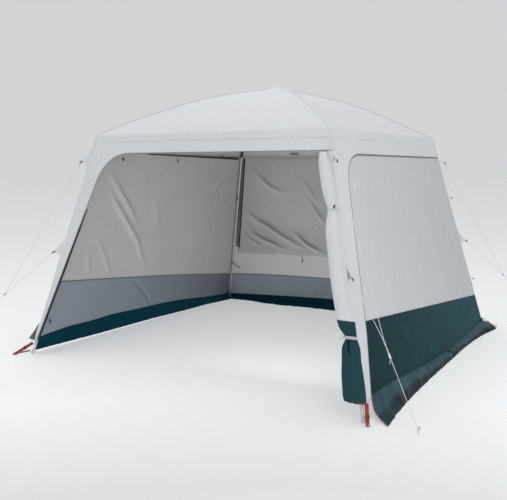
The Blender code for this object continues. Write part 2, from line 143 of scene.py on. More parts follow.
# Where the colour seam and the lower hem of each wall lie, as places in u and v: the cloth pulls them
# out of the straight lines that they are cut to
SEAM_LINES = {
    "right": [(-1.5, 0.607), (0.0, 0.468), (1.5, 0.329)],
    "rear": [(-1.5, 0.303), (-0.75, 0.346), (0.0, 0.36), (0.75, 0.346), (1.5, 0.303)],
    "left": [(-1.5, 0.302), (-1.02, 0.364), (-0.44, 0.438), (-0.03, 0.485), (0.39, 0.528), (0.92, 0.581),
             (1.5, 0.634)],
}
FOOT_LINES = {
    "right": [(-1.5, 0.122), (-1.126, 0.118), (-0.725, 0.091), (-0.25, 0.062), (0.169, 0.049), (0.67, 0.051),
              (1.33, 0.071), (1.5, 0.078)],
    "rear": [(-1.5, 0.05), (-0.65, 0.099), (0.0, 0.12), (0.65, 0.099), (1.5, 0.05)],
    "left": [(-1.5, 0.047), (-0.992, 0.09), (-0.547, 0.133), (-0.148, 0.156), (0.213, 0.164), (0.544, 0.174),
             (0.845, 0.164), (1.126, 0.166), (1.5, 0.132)],
}
SILL_LINE = [(-1.3, 0.599), (-0.44, 0.62), (0.0, 0.629), (0.44, 0.62), (1.3, 0.599)]

# Soft folds of the cloth on each side: places along the fold in u and v, its half width and its depth.
# A negative depth stands into the room.
WALL_FOLDS = {
    "left": [
        ([(0.9, 1.56), (0.75, 1.4), (0.56, 1.205), (0.425, 1.065)], 0.027, -0.022),
        ([(0.85, 1.385), (0.745, 1.26), (0.555, 1.06), (0.398, 0.9), (0.2, 0.575)], 0.027, -0.024),
        ([(0.915, 0.96), (0.805, 0.794), (0.69, 0.6)], 0.022, -0.012),
        ([(1.015, 0.88), (0.96, 0.61)], 0.024, -0.009),
        ([(-1.01, 1.64), (-0.794, 1.434), (-0.68, 1.23)], 0.016, -0.01),
        ([(0.4, 0.535), (0.232, 0.408), (0.064, 0.263), (-0.01, 0.165)], 0.014, 0.018),
        ([(1.215, 0.58), (1.315, 0.419), (1.34, 0.27)], 0.018, -0.014),
        ([(0.23, 1.3), (0.1, 0.98)], 0.04, -0.006),
    ],
    "rear": [
        ([(1.1, 0.52), (0.2, 0.44)], 0.03, -0.004),
        ([(-0.3, 0.55), (-1.15, 0.46)], 0.034, -0.005),
    ],
    "right": [
        ([(-0.55, 1.55), (-0.2, 0.95), (-0.05, 0.5)], 0.08, 0.005),
        ([(0.35, 1.6), (0.55, 1.0), (0.62, 0.5)], 0.1, 0.006),
        ([(0.95, 1.45), (1.1, 0.8)], 0.06, -0.004),
        ([(-0.9, 0.42), (0.5, 0.2)], 0.05, 0.004),
    ],
}
CURTAIN_FOLDS = [
    ([(1.12, 1.1), (0.969, 0.986), (0.838, 0.934), (0.706, 0.847), (0.514, 0.743), (0.38, 0.68)], 0.028, -0.032),
    ([(1.11, 0.95), (1.036, 0.829), (0.942, 0.781), (0.822, 0.74), (0.729, 0.699), (0.59, 0.655)], 0.024, -0.028),
    ([(0.53, 0.875), (0.445, 0.809), (0.354, 0.739), (0.255, 0.688), (0.14, 0.64)], 0.022, -0.026),
    ([(0.965, 1.57), (0.868, 1.476), (0.804, 1.427), (0.752, 1.377), (0.663, 1.333), (0.52, 1.305)], 0.026, -0.022),
    ([(0.33, 1.31), (0.262, 1.193), (0.211, 1.106), (0.158, 1.031), (0.12, 0.94)], 0.024, -0.02),
    ([(1.16, 0.81), (1.099, 0.76), (1.036, 0.728), (0.94, 0.68)], 0.018, -0.014),
    ([(0.345, 1.45), (0.267, 1.324), (0.205, 1.21)], 0.03, -0.014),
    ([(0.6, 0.93), (0.48, 0.9), (0.35, 0.96)], 0.08, 0.01),
    ([(-0.05, 1.45), (-0.3, 1.0), (-0.64, 0.76)], 0.034, -0.018),
    ([(-0.3, 1.56), (-0.7, 1.12), (-1.02, 0.9)], 0.03, -0.018),
    ([(-0.1, 0.9), (-0.5, 0.7)], 0.024, -0.016),
    ([(-0.75, 1.5), (-0.93, 1.2)], 0.026, -0.014),
]
ROOF_FOLDS = [
    ([(0.72, -0.98), (0.6, -0.62), (0.34, -0.34)], 0.05, -0.006),
    ([(0.98, -0.72), (0.62, -0.6)], 0.04, -0.005),
    ([(-0.8, -0.96), (-0.55, -0.66), (-0.26, -0.4)], 0.06, -0.005),
    ([(0.2, -1.02), (0.1, -0.55)], 0.09, -0.004),
    ([(0.96, 0.55), (0.6, 0.3)], 0.07, -0.005),
    ([(-0.3, 0.95), (-0.2, 0.5)], 0.08, -0.004),
    ([(-0.95, 0.3), (-0.5, 0.2)], 0.07, -0.004),
]


def length(name, description, default):
    return FloatProperty(name=name, description=description, default=default, min=0.0, unit="LENGTH", precision=4)


def colour(name, description, default):
    return FloatVectorProperty(
        name=name, description=description, default=(*default, 1.0), size=4, min=0.0, max=1.0, subtype="COLOR"
    )


class GazeboSizes(bpy.types.PropertyGroup):
    """Sizes that a user would change"""

    cloth: length("Cloth", "Thickness of the cloth", 0.0009)
    corner: length("Corner radius", "Radius of the cloth round each leg", 0.0145)
    skirt: length("Roof skirt", "Depth of the roof cloth's hem below the eave", 0.062)
    hem: length("Hem", "Width of a sewn hem", 0.016)
    piping: length("Piping", "Radius of the piping round each arch", 0.0026)
    zip_width: length("Zip tape", "Width of a zip with its tape", 0.015)
    zip_pitch: length("Zip pitch", "Distance between zip teeth", 0.0042)
    stitch: length("Stitch", "Length of one stitch", 0.0055)
    stitch_pitch: length("Stitch pitch", "Distance between stitches", 0.0095)
    thread: length("Thread", "Thickness of the sewing thread", 0.0011)
    cord: length("Guy cord", "Radius of the guy lines", 0.0019)
    webbing: length("Webbing", "Width of the corner straps", 0.025)
    grid: IntProperty(name="Cloth grid", description="Columns in a wall's mesh", default=132, min=40)


class GazeboColours(bpy.types.PropertyGroup):
    """Colours that a user would change"""

    roof: colour("Roof cloth", "Roof, fascia and leg bands", (0.72, 0.738, 0.768))
    wall: colour("Wall cloth", "Upper walls, outside", (0.61, 0.637, 0.672))
    wall_inside: colour("Wall lining", "Upper walls, inside", (0.53, 0.527, 0.522))
    roof_inside: colour("Roof lining", "Roof and fascia, inside", (0.6, 0.605, 0.61))
    teal: colour("Teal cloth", "Lower walls, outside", (0.015, 0.059, 0.071))
    teal_inside: colour("Teal lining", "Lower walls, inside", (0.235, 0.264, 0.3))
    flap: colour("Ground flap", "Flaps at the foot of the walls", (0.003, 0.05, 0.08))
    flap_outside: colour("Outer ground flap", "The flap that runs outwards", (0.017, 0.043, 0.057))
    curtain: colour("Curtain", "Curtain of the rear window", (0.5, 0.492, 0.495))
    binding: colour("Binding", "Red edge binding and webbing", (0.42, 0.044, 0.032))
    zip: colour("Zip", "Black zip tape and teeth", (0.012, 0.013, 0.016))
    piping: colour("Grey piping", "Piping and zip cover of the walls", (0.26, 0.27, 0.28))
    tape: colour("Seam tape", "Tape behind the colour seam", (0.13, 0.14, 0.155))
    cord: colour("Guy cord", "Guy lines and ties", (0.86, 0.87, 0.88))
    steel: colour("Steel", "Legs, arches and pegs", (0.66, 0.665, 0.68))
    plastic: colour("Plastic", "Joints, toggles and runners", (0.022, 0.023, 0.026))
    floor: colour("Studio floor", "The pale floor", (0.7, 0.712, 0.722))
    backdrop: colour("Backdrop", "The studio behind the shelter", (0.645, 0.657, 0.672))


def sizes():
    return bpy.context.scene.gazebo_sizes


def colours():
    return bpy.context.scene.gazebo_colours


# Geometry of the sides

def side_size(side):
    """Half width of the eave and its distance from the centre."""
    return (EAVE_X, EAVE_Y) if side in ("front", "rear") else (EAVE_Y, EAVE_X)


def slope_length(side):
    return hypot(BASE - side_size(side)[1], EAVE_Z)


def slope_of(side, height):
    return height * slope_length(side) / EAVE_Z


def edge(side, v):
    """Half width between the corner lines at slope height v."""
    return BASE - (BASE - side_size(side)[0]) * v / slope_length(side)


def side_matrix(side):
    """Takes u, v and w of a side to the world."""
    lean = atan2(BASE - side_size(side)[1], EAVE_Z)
    turn = Matrix.Rotation(radians(SIDES[side]), 4, "Z")
    return turn @ Matrix.Translation((0, -BASE, 0)) @ Matrix.Rotation(pi / 2 - lean, 4, "X")


TO_WORLD = {side: side_matrix(side) for side in SIDES}


def outward(side):
    return TO_WORLD[side].to_3x3() @ UP


def on_side(side, a, v, out=0.0):
    """A point of the cloth of a side, a measured along the cloth, which turns round the leg at its ends."""
    radius = sizes().corner
    flat = edge(side, v) - radius
    turn = max(0.0, abs(a) - flat) / radius
    u = min(abs(a), flat) + (radius + out) * sin(turn)
    w = (radius + out) * cos(turn) - radius
    return TO_WORLD[side] @ Vector((u if a >= 0 else -u, v, w))


def corner_reach(side, v):
    """How far the cloth of a side runs from its middle to the middle of the leg's round."""
    return edge(side, v) - sizes().corner * (1 - pi / 4)


def corner_point(corner, height, out=0.0):
    sx, sy = CORNERS[corner]
    rise = height / EAVE_Z
    x = BASE - (BASE - EAVE_X) * rise + out * cos(pi / 4)
    y = BASE - (BASE - EAVE_Y) * rise + out * sin(pi / 4)
    return Vector((sx * x, sy * y, height))


def corner_out(corner):
    return Vector((*CORNERS[corner], 0)).normalized()


def leg_axis(corner, height):
    sx, sy = CORNERS[corner]
    point = corner_point(corner, height)
    point.x -= sx * (LEG_RADIUS + (CLOTH + GAP) / cos(atan2(BASE - EAVE_X, EAVE_Z)))
    point.y -= sy * (LEG_RADIUS + (CLOTH + GAP) / cos(atan2(BASE - EAVE_Y, EAVE_Z)))
    return point


def roof_height(t):
    return EAVE_Z + ROOF_RISE * (1 - max(t, 0.0) ** ARCH_POWER)


def doorway_edge(side, v, sign=-1):
    """From the middle to the cut-out's edge: -1 is the zipped edge on the left, 1 the sewn one."""
    if sign > 0:
        return edge(side, v) - SEWN_BAND
    if side == "front":
        return DOOR_FOOT - DOOR_TAPER * v
    return edge(side, v) - WALL_ARCH_INSET + FOOT_TAPER * max(0.0, 1 - v / FOOT_TAPER_TOP)


def on_line(points, x):
    """Height of a smooth line through points at x."""
    for k in range(len(points) - 1):
        if x <= points[k + 1][0]:
            break
    low, high = points[k], points[k + 1]
    before, after = points[max(k - 1, 0)], points[min(k + 2, len(points) - 1)]
    span = high[0] - low[0]
    slope_a = (high[1] - before[1]) / (high[0] - before[0]) * span
    slope_b = (after[1] - low[1]) / (after[0] - low[0]) * span
    h = min(1.0, max(0.0, (x - low[0]) / span))
    return (
        (2 * h ** 3 - 3 * h ** 2 + 1) * low[1] + (h ** 3 - 2 * h ** 2 + h) * slope_a
        + (3 * h ** 2 - 2 * h ** 3) * high[1] + (h ** 3 - h ** 2) * slope_b
    )


def seam_height(side, u):
    """Slope height of the colour seam, which drops from the front corners to the rear ones."""
    return on_line(SEAM_LINES[side], u)


def foot_height(side, u):
    """Slope height of a wall's lower hem."""
    return on_line(FOOT_LINES[side], u)


def wall_edge(side, v):
    return edge(side, v) - WALL_INSET


def wall_head(side):
    return slope_length(side) - FASCIA + WALL_OVERLAP


def window_head():
    return wall_head("rear") - WINDOW_HEAD


def window_edge(v):
    share = (v - WINDOW_SILL) / (window_head() - WINDOW_SILL)
    return edge("rear", v) - WINDOW_JAMB_FOOT - (WINDOW_JAMB_TOP - WINDOW_JAMB_FOOT) * share


# Folds and waves

def clamp(value, low=0.0, high=1.0):
    return min(high, max(low, value))


def fold_height(u, v, folds):
    """Height of all the soft folds at one place. Each fades out at both its ends."""
    place = Vector((u, v))
    total = 0.0
    for path, width, depth in folds:
        points = [Vector(point) for point in path]
        best, share = 1e9, 0.0
        for k, (start, end) in enumerate(zip(points, points[1:])):
            run = end - start
            along = clamp((place - start).dot(run) / run.length_squared)
            distance = (place - start - run * along).length
            if distance < best:
                best, share = distance, (k + along) / (len(points) - 1)
        if best < 3 * width:
            total += depth * exp(-(best / width) ** 2) * sin(pi * clamp(share, 0.03, 0.97)) ** 0.85
    return total


def ripple(x, y, seed, scale, stretch=1.0):
    """Smooth noise from -1 to 1 with features about 1/scale across."""
    return noise.noise(Vector((x * scale, y * scale * stretch, seed)))


def wall_level(side, u, v):
    """Distance w of a wall's outer face from the plane of its side: behind the surround, with its folds."""
    across = clamp(1 - (u / wall_edge(side, v)) ** 2)
    up = clamp((v - 0.05) / (wall_head(side) - 0.05))
    free = clamp(across * 3.2) * clamp(14 * up * (1 - up))
    seed = SIDES[side] / 31
    waves = 0.003 * ripple(u, v, seed, 2.3, 0.5) + 0.0012 * ripple(u, v, seed + 9, 8.0, 0.6)
    bow = -0.01 * across * sin(pi * up)
    behind = -0.0034 * clamp((corner_reach(side, v) - u) / 0.04)
    return behind + free * (bow + waves + fold_height(u, v, WALL_FOLDS[side]))


def curtain_level(u, v):
    """Distance w of the curtain's outer face. It hangs on the inner side of the rear wall."""
    across = 1 - (u / (window_edge(v) + 0.02)) ** 2
    up = clamp((v - WINDOW_SILL + 0.02) / (window_head() - WINDOW_SILL + 0.04))
    free = clamp(across * 5) * clamp(24 * up * (1 - up))
    waves = 0.004 * ripple(u, v, 4.4, 3.1, 0.8) + 0.0016 * ripple(u - v, u + v, 6.1, 9.0, 0.4)
    return -0.0068 + free * (waves - 0.01 * across + fold_height(u, v, CURTAIN_FOLDS))


def flank_painted_light(level, u, v, aim):
    """Painted light and shade on a fold's flanks, as if light fell from aim, from -1 to 1."""
    step = 0.006
    rise = level(u + aim[0] * step, v + aim[1] * step) - level(u - aim[0] * step, v - aim[1] * step)
    return clamp(rise / (2 * step), -1.0, 1.0)


def roof_point(side, s, row):
    """A point of the roof cloth: s from corner to corner, and a row of the skirt, of the fold or of the roof."""
    kind, value = row
    proud = 0.0012
    top = slope_length(side)
    eave = on_side(side, s * corner_reach(side, top), top, proud)

    def skirt(depth):
        v = top - depth
        a = s * corner_reach(side, v)
        wave = 0.0012 * clamp(depth / 0.05) * ripple(a, v, SIDES[side], 6.0) * (1 - s ** 6)
        return on_side(side, a, v, proud + wave)

    def roof(t):
        x, y = eave.x * t, eave.y * t
        level = max(abs(x) / EAVE_X, abs(y) / EAVE_Y)
        flat_s = min(abs(x) / EAVE_X, abs(y) / EAVE_Y) / max(level, 1e-6)
        sag = ROOF_SAG * (1 - flat_s ** 2) * 4 * level * (1 - level)
        free = clamp(8 * level * (1 - level))
        waves = 0.0022 * ripple(x, y, 2.7, 4.0) + fold_height(x, y, ROOF_FOLDS)
        crown = 0.026 * exp(-((x - 0.03) ** 2 + y ** 2) / 0.085 ** 2) + 0.01 * exp(-((level - 0.5) / 0.2) ** 2)
        return Vector((x, y, roof_height(level) + GAP + CLOTH - sag + free * waves + crown))

    if kind == "skirt":
        return skirt(value)
    if kind == "roof":
        return roof(value)
    low, high = skirt(EAVE_FOLD), roof(1 - EAVE_FOLD)
    return low.lerp(eave, value).lerp(eave.lerp(high, value), value)


# Making meshes

def steps(start, end, count):
    """Even steps from start to end, with both ends."""
    return [start + (end - start) * k / count for k in range(count + 1)]


def circle(centre, across, over, radius, count):
    """Points round a circle, from across towards over."""
    return [centre + (across * cos(a) + over * sin(a)) * radius for a in steps(0, 2 * pi, count)[:-1]]


def ahead_at(points, k):
    return (points[min(k + 1, len(points) - 1)] - points[max(k - 1, 0)]).normalized()


def frames_along(points, up):
    """Side and up vectors at each point of a path. up may be a list, one for each point."""
    found = []
    for k in range(len(points)):
        ahead = ahead_at(points, k)
        across = ahead.cross(up[k] if isinstance(up, list) else up).normalized()
        found.append((across, across.cross(ahead).normalized()))
    return found


class Maker:
    """Collects strips, tubes and slabs, and joins them into one piece with a cloth map in metres."""

    def __init__(self, name):
        self.name = name
        self.verts = []
        self.faces = []
        self.flats = []
        self.tones = []

    def loft(self, rings, closed=False, tone=0):
        """A skin through rings of the same number of points, with a cap at each end where it isn't closed."""
        first, count = len(self.verts), len(rings[0])
        for ring in rings:
            self.verts.extend(ring)
        girth = [0.0]
        for k in range(count):
            girth.append(girth[-1] + (rings[0][(k + 1) % count] - rings[0][k]).length)
        reach = [0.0]
        for low, high in zip(rings, rings[1:] + rings[:1]):
            reach.append(reach[-1] + (high[0] - low[0]).length)
        for j in range(len(rings) if closed else len(rings) - 1):
            after = (j + 1) % len(rings)
            for k in range(count):
                right = (k + 1) % count
                self.faces.append([
                    first + j * count + k, first + j * count + right,
                    first + after * count + right, first + after * count + k,
                ])
                self.flats.append([
                    (girth[k], reach[j]), (girth[k + 1], reach[j]),
                    (girth[k + 1], reach[j + 1]), (girth[k], reach[j + 1]),
                ])
                self.tones.append(tone)
        if not closed:
            self.faces.append([first + k for k in range(count)][::-1])
            last = first + (len(rings) - 1) * count
            self.faces.append([last + k for k in range(count)])
            for _ in range(2):
                self.flats.append([(0.0, 0.0)] * count)
                self.tones.append(tone)

    def strip(self, points, up, width, thickness, closed=False):
        """A flat strip along a path, its back on the path and its face towards up. width may be a list."""
        profile = [(-0.5, 0), (-0.5, 0.6), (-0.44, 1), (0.44, 1), (0.5, 0.6), (0.5, 0)]
        rings = []
        for k, (point, (across, over)) in enumerate(zip(points, frames_along(points, up))):
            wide = width[k] if isinstance(width, list) else width
            rings.append([point + across * (x * wide) + over * (y * thickness) for x, y in profile])
        self.loft(rings[:-1] if closed else rings, closed=closed)

    def tube(self, points, radius, sides=8):
        """A round tube along a path. radius may be a list, one for each point."""
        rings = []
        over = Vector((0.1, 0.2, 1.0)).normalized()
        for k, point in enumerate(points):
            ahead = ahead_at(points, k)
            across = ahead.cross(over)
            if across.length < 0.05:
                across = ahead.cross(Vector((1, 0.3, 0)))
            across.normalize()
            over = across.cross(ahead).normalized()
            rings.append(circle(point, across, over, radius[k] if isinstance(radius, list) else radius, sides))
        self.loft(rings)

    def turned(self, start, axis, radius, profile):
        """A sleeve: its profile has distances along the axis and how far it stands off the radius there."""
        self.tube([start + axis * z for z, _ in profile], [radius + rise for _, rise in profile], 24)

    def ring(self, centre, axis, radius, thickness):
        """A round ring about an axis."""
        axis, across = axis.normalized(), axis.orthogonal().normalized()
        middle = circle(centre, across, axis.cross(across), radius, 20)
        self.loft([circle(point, (point - centre).normalized(), axis, thickness, 8) for point in middle], closed=True)

    def bead(self, centre, axis, radius, half_length):
        """A small turned piece with rounded ends."""
        axis, across = axis.normalized(), axis.orthogonal().normalized()
        over = axis.cross(across)
        profile = [(-1, 0.25), (-0.9, 0.7), (-0.65, 1), (0.65, 1), (0.9, 0.7), (1, 0.25)]
        self.loft([circle(centre + axis * (x * half_length), across, over, y * radius, 10) for x, y in profile])

    def finish(self, finishes, slot, *nodes, smooth=40):
        """Joins what was collected into the piece, which may stand in for plain soft nodes."""
        mesh = bpy.data.meshes.new(self.name)
        mesh.from_pydata(self.verts, [], self.faces)
        layer = mesh.uv_layers.new(name="Cloth")
        for polygon, flat, tone in zip(mesh.polygons, self.flats, self.tones):
            polygon.material_index = tone
            for loop, place in zip(polygon.loop_indices, flat):
                layer.data[loop].uv = place
        with editing(mesh) as shape:
            bmesh.ops.recalc_face_normals(shape, faces=shape.faces)
        mesh.shade_smooth()
        mesh.set_sharp_from_angle(angle=radians(smooth))
        return finished(new_object(self.name, mesh, finishes), slot, *nodes)


@contextmanager
def editing(mesh):
    """Lends a mesh for work with bmesh."""
    shape = bmesh.new()
    shape.from_mesh(mesh)
    yield shape
    shape.to_mesh(mesh)
    shape.free()


def new_object(name, data, finishes=()):
    item = bpy.data.objects.new(name, data)
    bpy.context.scene.collection.objects.link(item)
    for finish in [finishes] if isinstance(finishes, str) else finishes:
        data.materials.append(finish_named(finish))
    return item


def grid_faces(wide, high, first=0):
    """Faces of a grid of points, row by row."""
    lows = (first + j * wide + i for j in range(high - 1) for i in range(wide - 1))
    return [(low, low + 1, low + wide + 1, low + wide) for low in lows]


def cloth_mesh(name, points, faces):
    """A smooth mesh with a cloth map. Each point comes with its flat place in metres."""
    mesh = bpy.data.meshes.new(name)
    mesh.from_pydata([point for point, _ in points], [], faces)
    layer = mesh.uv_layers.new(name="Cloth")
    for loop in mesh.loops:
        layer.data[loop.index].uv = points[loop.vertex_index][1]
    mesh.shade_smooth()
    return mesh


def cloth_grid(name, columns, rows, place, finishes, hole=None, glow=None):
    """One-sided cloth as a grid. place(a, b) gives the world point and the flat place in metres.

    columns and rows are counts or lists of shares. hole(a, b) is true at the middle of a cell left out.
    glow(u, v) gives the painted light and shade on the cloth there, kept as a mesh attribute that its finish adds to
    its colour.
    """
    across, up = [shares if isinstance(shares, list) else steps(0, 1, shares) for shares in (columns, rows)]
    points = [place(a, b) for b in up for a in across]
    faces = grid_faces(len(across), len(up))
    if hole:
        middles = [((a + c) / 2, (b + d) / 2) for b, d in zip(up, up[1:]) for a, c in zip(across, across[1:])]
        faces = [face for face, middle in zip(faces, middles) if not hole(*middle)]
    mesh = cloth_mesh(name, points, faces)
    if glow:
        for value, (_, flat) in zip(mesh.attributes.new("Glow", "FLOAT", "POINT").data, points):
            value.value = glow(*flat)
    if hole:
        with editing(mesh) as shape:
            loose = [vert for vert in shape.verts if not vert.link_faces]
            bmesh.ops.delete(shape, geom=loose, context="VERTS")
    return new_object(name, mesh, finishes)


def finished(item, slot, *nodes):
    """The piece stands with the shelter and may stand in for plain soft nodes. Its slot is not used."""
    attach(item, "root")
    if nodes:
        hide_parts(*nodes)
    return item


def lay_sheet(item, slot, nodes, thickness=1.0):
    """It gets its thickness inwards from its outer face. Lined cloth has its second finish inside.
    """
    shell = item.modifiers.new("Thickness", "SOLIDIFY")
    shell.thickness = sizes().cloth * thickness
    shell.offset = -1
    shell.material_offset = len(item.data.materials) - 1
    finished(item, slot, *nodes)


# Strips that are sewn or tied on: their width and thickness
RIDGE_SEAM = (0.013, 0.0009)
GUSSET_SEAM = (0.008, 0.0011)
SEAM_TAPE = (0.01, 0.0008)
WALL_BINDING = (0.012, 0.0008)
CURTAIN_HEM = (0.009, 0.001)
CURTAIN_ZIP_COVER = (0.034, 0.0011)
ZIP_PULL = (0.006, 0.0015)
WALL_ZIP_COVER = (0.01, 0.001)
FASCIA_LAP = (0.03, 0.0012)
FLAP_HEM = (0.012, 0.0016)
FLAP_GATHERING = (0.007, 0.0016)
FOOT_GUSSET = (0.088, 0.0016)
DOOR_TIE_END = (0.01, 0.0012)
TAB_LOOP = (0.013, 0.0032)
POLE_TIE = (0.014, 0.0016)
POLE_TIE_END = (0.01, 0.0014)
RED_PULL = (0.014, 0.003)

# Radii of round pieces
FLAP_BINDING = 0.0028
DOOR_BINDING = 0.0042
DOOR_EDGE = 0.0014
DOOR_KNOT = 0.003
TOGGLE_LOOP = 0.003
CORNER_LOOP = 0.0022
PEG_WIRE = 0.0022

# Beads of the zips: width, height and length
CURTAIN_TOOTH = (0.005, 0.005, 0.003)
WALL_TOOTH = (0.0045, 0.0045, 0.003)
DOOR_TOOTH = (0.0065, 0.0065, 0.003)


# Beads along a path: stitches and zip teeth

def bead_tree():
    """Geometry Nodes that set small rounded beads at even steps along every edge path of a mesh."""
    known = bpy.data.node_groups.get("Beads along a path")
    if known:
        return known
    tree = bpy.data.node_groups.new("Beads along a path", "GeometryNodeTree")
    for name, kind in {"Geometry": "Geometry", "Pitch": "Float", "Size": "Vector", "Finish": "Material"}.items():
        tree.interface.new_socket(name, in_out="INPUT", socket_type="NodeSocket" + kind)
    tree.interface.new_socket("Geometry", in_out="OUTPUT", socket_type="NodeSocketGeometry")
    enter = tree.nodes.new("NodeGroupInput").outputs
    leave = tree.nodes.new("NodeGroupOutput")
    curve = wire(tree, "GeometryNodeMeshToCurve", {0: enter["Geometry"]})
    spots = wire(tree, "GeometryNodeCurveToPoints", {0: curve.outputs[0], "Length": enter["Pitch"]}, mode="LENGTH")
    turn = wire(tree, "FunctionNodeAlignRotationToVector", {"Vector": spots.outputs["Tangent"]}, axis="Z")
    ball = wire(tree, "GeometryNodeMeshIcoSphere", {"Radius": 0.5, "Subdivisions": 1})
    place = wire(tree, "GeometryNodeInstanceOnPoints", {
        "Points": spots.outputs["Points"], "Instance": ball.outputs["Mesh"],
        "Rotation": turn.outputs[0], "Scale": enter["Size"],
    })
    real = wire(tree, "GeometryNodeRealizeInstances", {0: place.outputs[0]})
    smooth = wire(tree, "GeometryNodeSetShadeSmooth", {0: real.outputs[0]})
    dressed = wire(tree, "GeometryNodeSetMaterial", {0: smooth.outputs[0], "Material": enter["Finish"]})
    tree.links.new(dressed.outputs[0], leave.inputs[0])
    return tree


def bead_rows(name, paths, pitch, size, finish, slot):
    """A piece of beads along paths, made with the node tree."""
    verts, edges = [], []
    for path in paths:
        first = len(verts)
        verts.extend(path)
        edges.extend((first + k, first + k + 1) for k in range(len(path) - 1))
    mesh = bpy.data.meshes.new(name + "_paths")
    mesh.from_pydata(verts, edges, [])
    guide = new_object(name + "_paths", mesh)
    modifier = guide.modifiers.new("Beads", "NODES")
    modifier.node_group = bead_tree()
    values = {"Pitch": pitch, "Size": size, "Finish": finish_named(finish)}
    for socket in modifier.node_group.interface.items_tree:
        if socket.in_out == "INPUT" and socket.name in values:
            modifier[socket.identifier] = values[socket.name]
    bpy.context.view_layer.update()
    evaluated = guide.evaluated_get(bpy.context.evaluated_depsgraph_get())
    made = bpy.data.meshes.new_from_object(evaluated)
    made.name = name
    bpy.data.objects.remove(guide, do_unlink=True)
    finished(new_object(name, made), slot)


def stitches(name, paths, finish="thread_pale", slot="roof_cloth"):
    size = (sizes().thread, sizes().thread, sizes().stitch)
    bead_rows(name, paths, sizes().stitch_pitch, size, finish, slot)


# Shader building blocks

def wire(tree, kind, sockets=None, **settings):
    """Adds a node, sets it up, and fills its sockets, by name or number, with values or links."""
    node = tree.nodes.new(kind)
    for key, value in settings.items():
        setattr(node, key, value)
    for key, value in (sockets or {}).items():
        if isinstance(value, bpy.types.NodeSocket):
            tree.links.new(value, node.inputs[key])
        else:
            node.inputs[key].default_value = value
    return node


def math(tree, operation, a, b=0.0):
    return wire(tree, "ShaderNodeMath", {0: a, 1: b}, operation=operation).outputs[0]


def blend(tree, factor, a, b):
    """A colour between a and b."""
    return wire(tree, "ShaderNodeMix", {0: factor, 6: a, 7: b}, data_type="RGBA").outputs[2]


def ramp(tree, factor, low, high, start=0.0, end=1.0):
    node = wire(tree, "ShaderNodeMapRange", {0: factor, 1: low, 2: high, 3: start, 4: end})
    return node.outputs[0]


def speckle(tree, vector, scale, detail=2.0, rough=0.5):
    sockets = {"Vector": vector, "Scale": scale, "Detail": detail, "Roughness": rough}
    return wire(tree, "ShaderNodeTexNoise", sockets).outputs[0]


def new_group(name, inputs, outputs):
    """An empty shader group with its sockets: inputs are name, kind and default, outputs name and kind."""
    group = bpy.data.node_groups.new(name, "ShaderNodeTree")
    for label, kind, default in inputs:
        socket = group.interface.new_socket(label, in_out="INPUT", socket_type="NodeSocket" + kind)
        if default is not None:
            socket.default_value = default
    for label, kind in outputs:
        group.interface.new_socket(label, in_out="OUTPUT", socket_type="NodeSocket" + kind)
    enter = group.nodes.new("NodeGroupInput").outputs
    leave = group.nodes.new("NodeGroupOutput").inputs
    return group, enter, leave


def woven_group():
    """Plain weave: warp over weft in turn, at the thread's own size."""
    group, enter, leave = new_group(
        "Woven threads",
        [("Vector", "Vector", None), ("Threads per metre", "Float", 1100.0)],
        [("Height", "Float")],
    )
    sockets = {0: enter["Vector"], 3: enter["Threads per metre"]}
    turns = wire(group, "ShaderNodeVectorMath", sockets, operation="SCALE")
    parts = wire(group, "ShaderNodeSeparateXYZ", {0: turns.outputs[0]})
    waves = [math(group, "SINE", math(group, "MULTIPLY", parts.outputs[k], 2 * pi)) for k in (0, 1)]
    both = math(group, "MULTIPLY", waves[0], waves[1])
    group.links.new(ramp(group, both, -1.0, 1.0), leave["Height"])
    return group


def tone_group():
    """Slow change of tone over a large piece, with a finer mottle in it."""
    group, enter, leave = new_group(
        "Uneven tone",
        [("Colour", "Color", (1, 1, 1, 1)), ("Vector", "Vector", None), ("Scale", "Float", 3.0),
         ("Amount", "Float", 0.05)],
        [("Colour", "Color")],
    )
    slow = speckle(group, enter["Vector"], enter["Scale"], 3.0)
    gain = math(group, "MULTIPLY", math(group, "SUBTRACT", slow, 0.5), enter["Amount"])
    value = math(group, "ADD", math(group, "MULTIPLY", gain, 2.0), 1.0)
    tinted = wire(group, "ShaderNodeHueSaturation", {"Value": value, "Color": enter["Colour"]})
    group.links.new(tinted.outputs[0], leave["Colour"])
    return group


def crease_group():
    """Fine sharp creases of packed cloth, as heights."""
    group, enter, leave = new_group(
        "Packing creases",
        [("Vector", "Vector", None), ("Scale", "Float", 6.0)],
        [("Height", "Float")],
    )
    bent = wire(group, "ShaderNodeTexNoise", {
        "Vector": enter["Vector"], "Scale": enter["Scale"], "Detail": 3.0, "Distortion": 0.9,
    })
    centred = math(group, "ABSOLUTE", math(group, "SUBTRACT", bent.outputs[0], 0.5))
    group.links.new(math(group, "POWER", ramp(group, centred, 0.0, 0.16, 1.0, 0.0), 3.0), leave["Height"])
    return group


def dust_group():
    """Dust and scuffs near the ground, which fade out upwards."""
    group, enter, leave = new_group(
        "Ground dust",
        [("Colour", "Color", (1, 1, 1, 1)), ("Vector", "Vector", None), ("Dust", "Color", (0.3, 0.28, 0.25, 1)),
         ("Reach", "Float", 0.25), ("Amount", "Float", 0.3)],
        [("Colour", "Color")],
    )
    height = wire(group, "ShaderNodeSeparateXYZ", {0: enter["Vector"]}).outputs[2]
    rise = wire(group, "ShaderNodeMath", {0: height, 1: enter["Reach"]}, operation="DIVIDE", use_clamp=True)
    low = math(group, "SUBTRACT", 1.0, rise.outputs[0])
    patch = ramp(group, speckle(group, enter["Vector"], 14.0, 4.0, 0.6), 0.35, 0.75)
    share = math(group, "MULTIPLY", math(group, "MULTIPLY", low, patch), enter["Amount"])
    group.links.new(blend(group, share, enter["Colour"], enter["Dust"]), leave["Colour"])
    return group


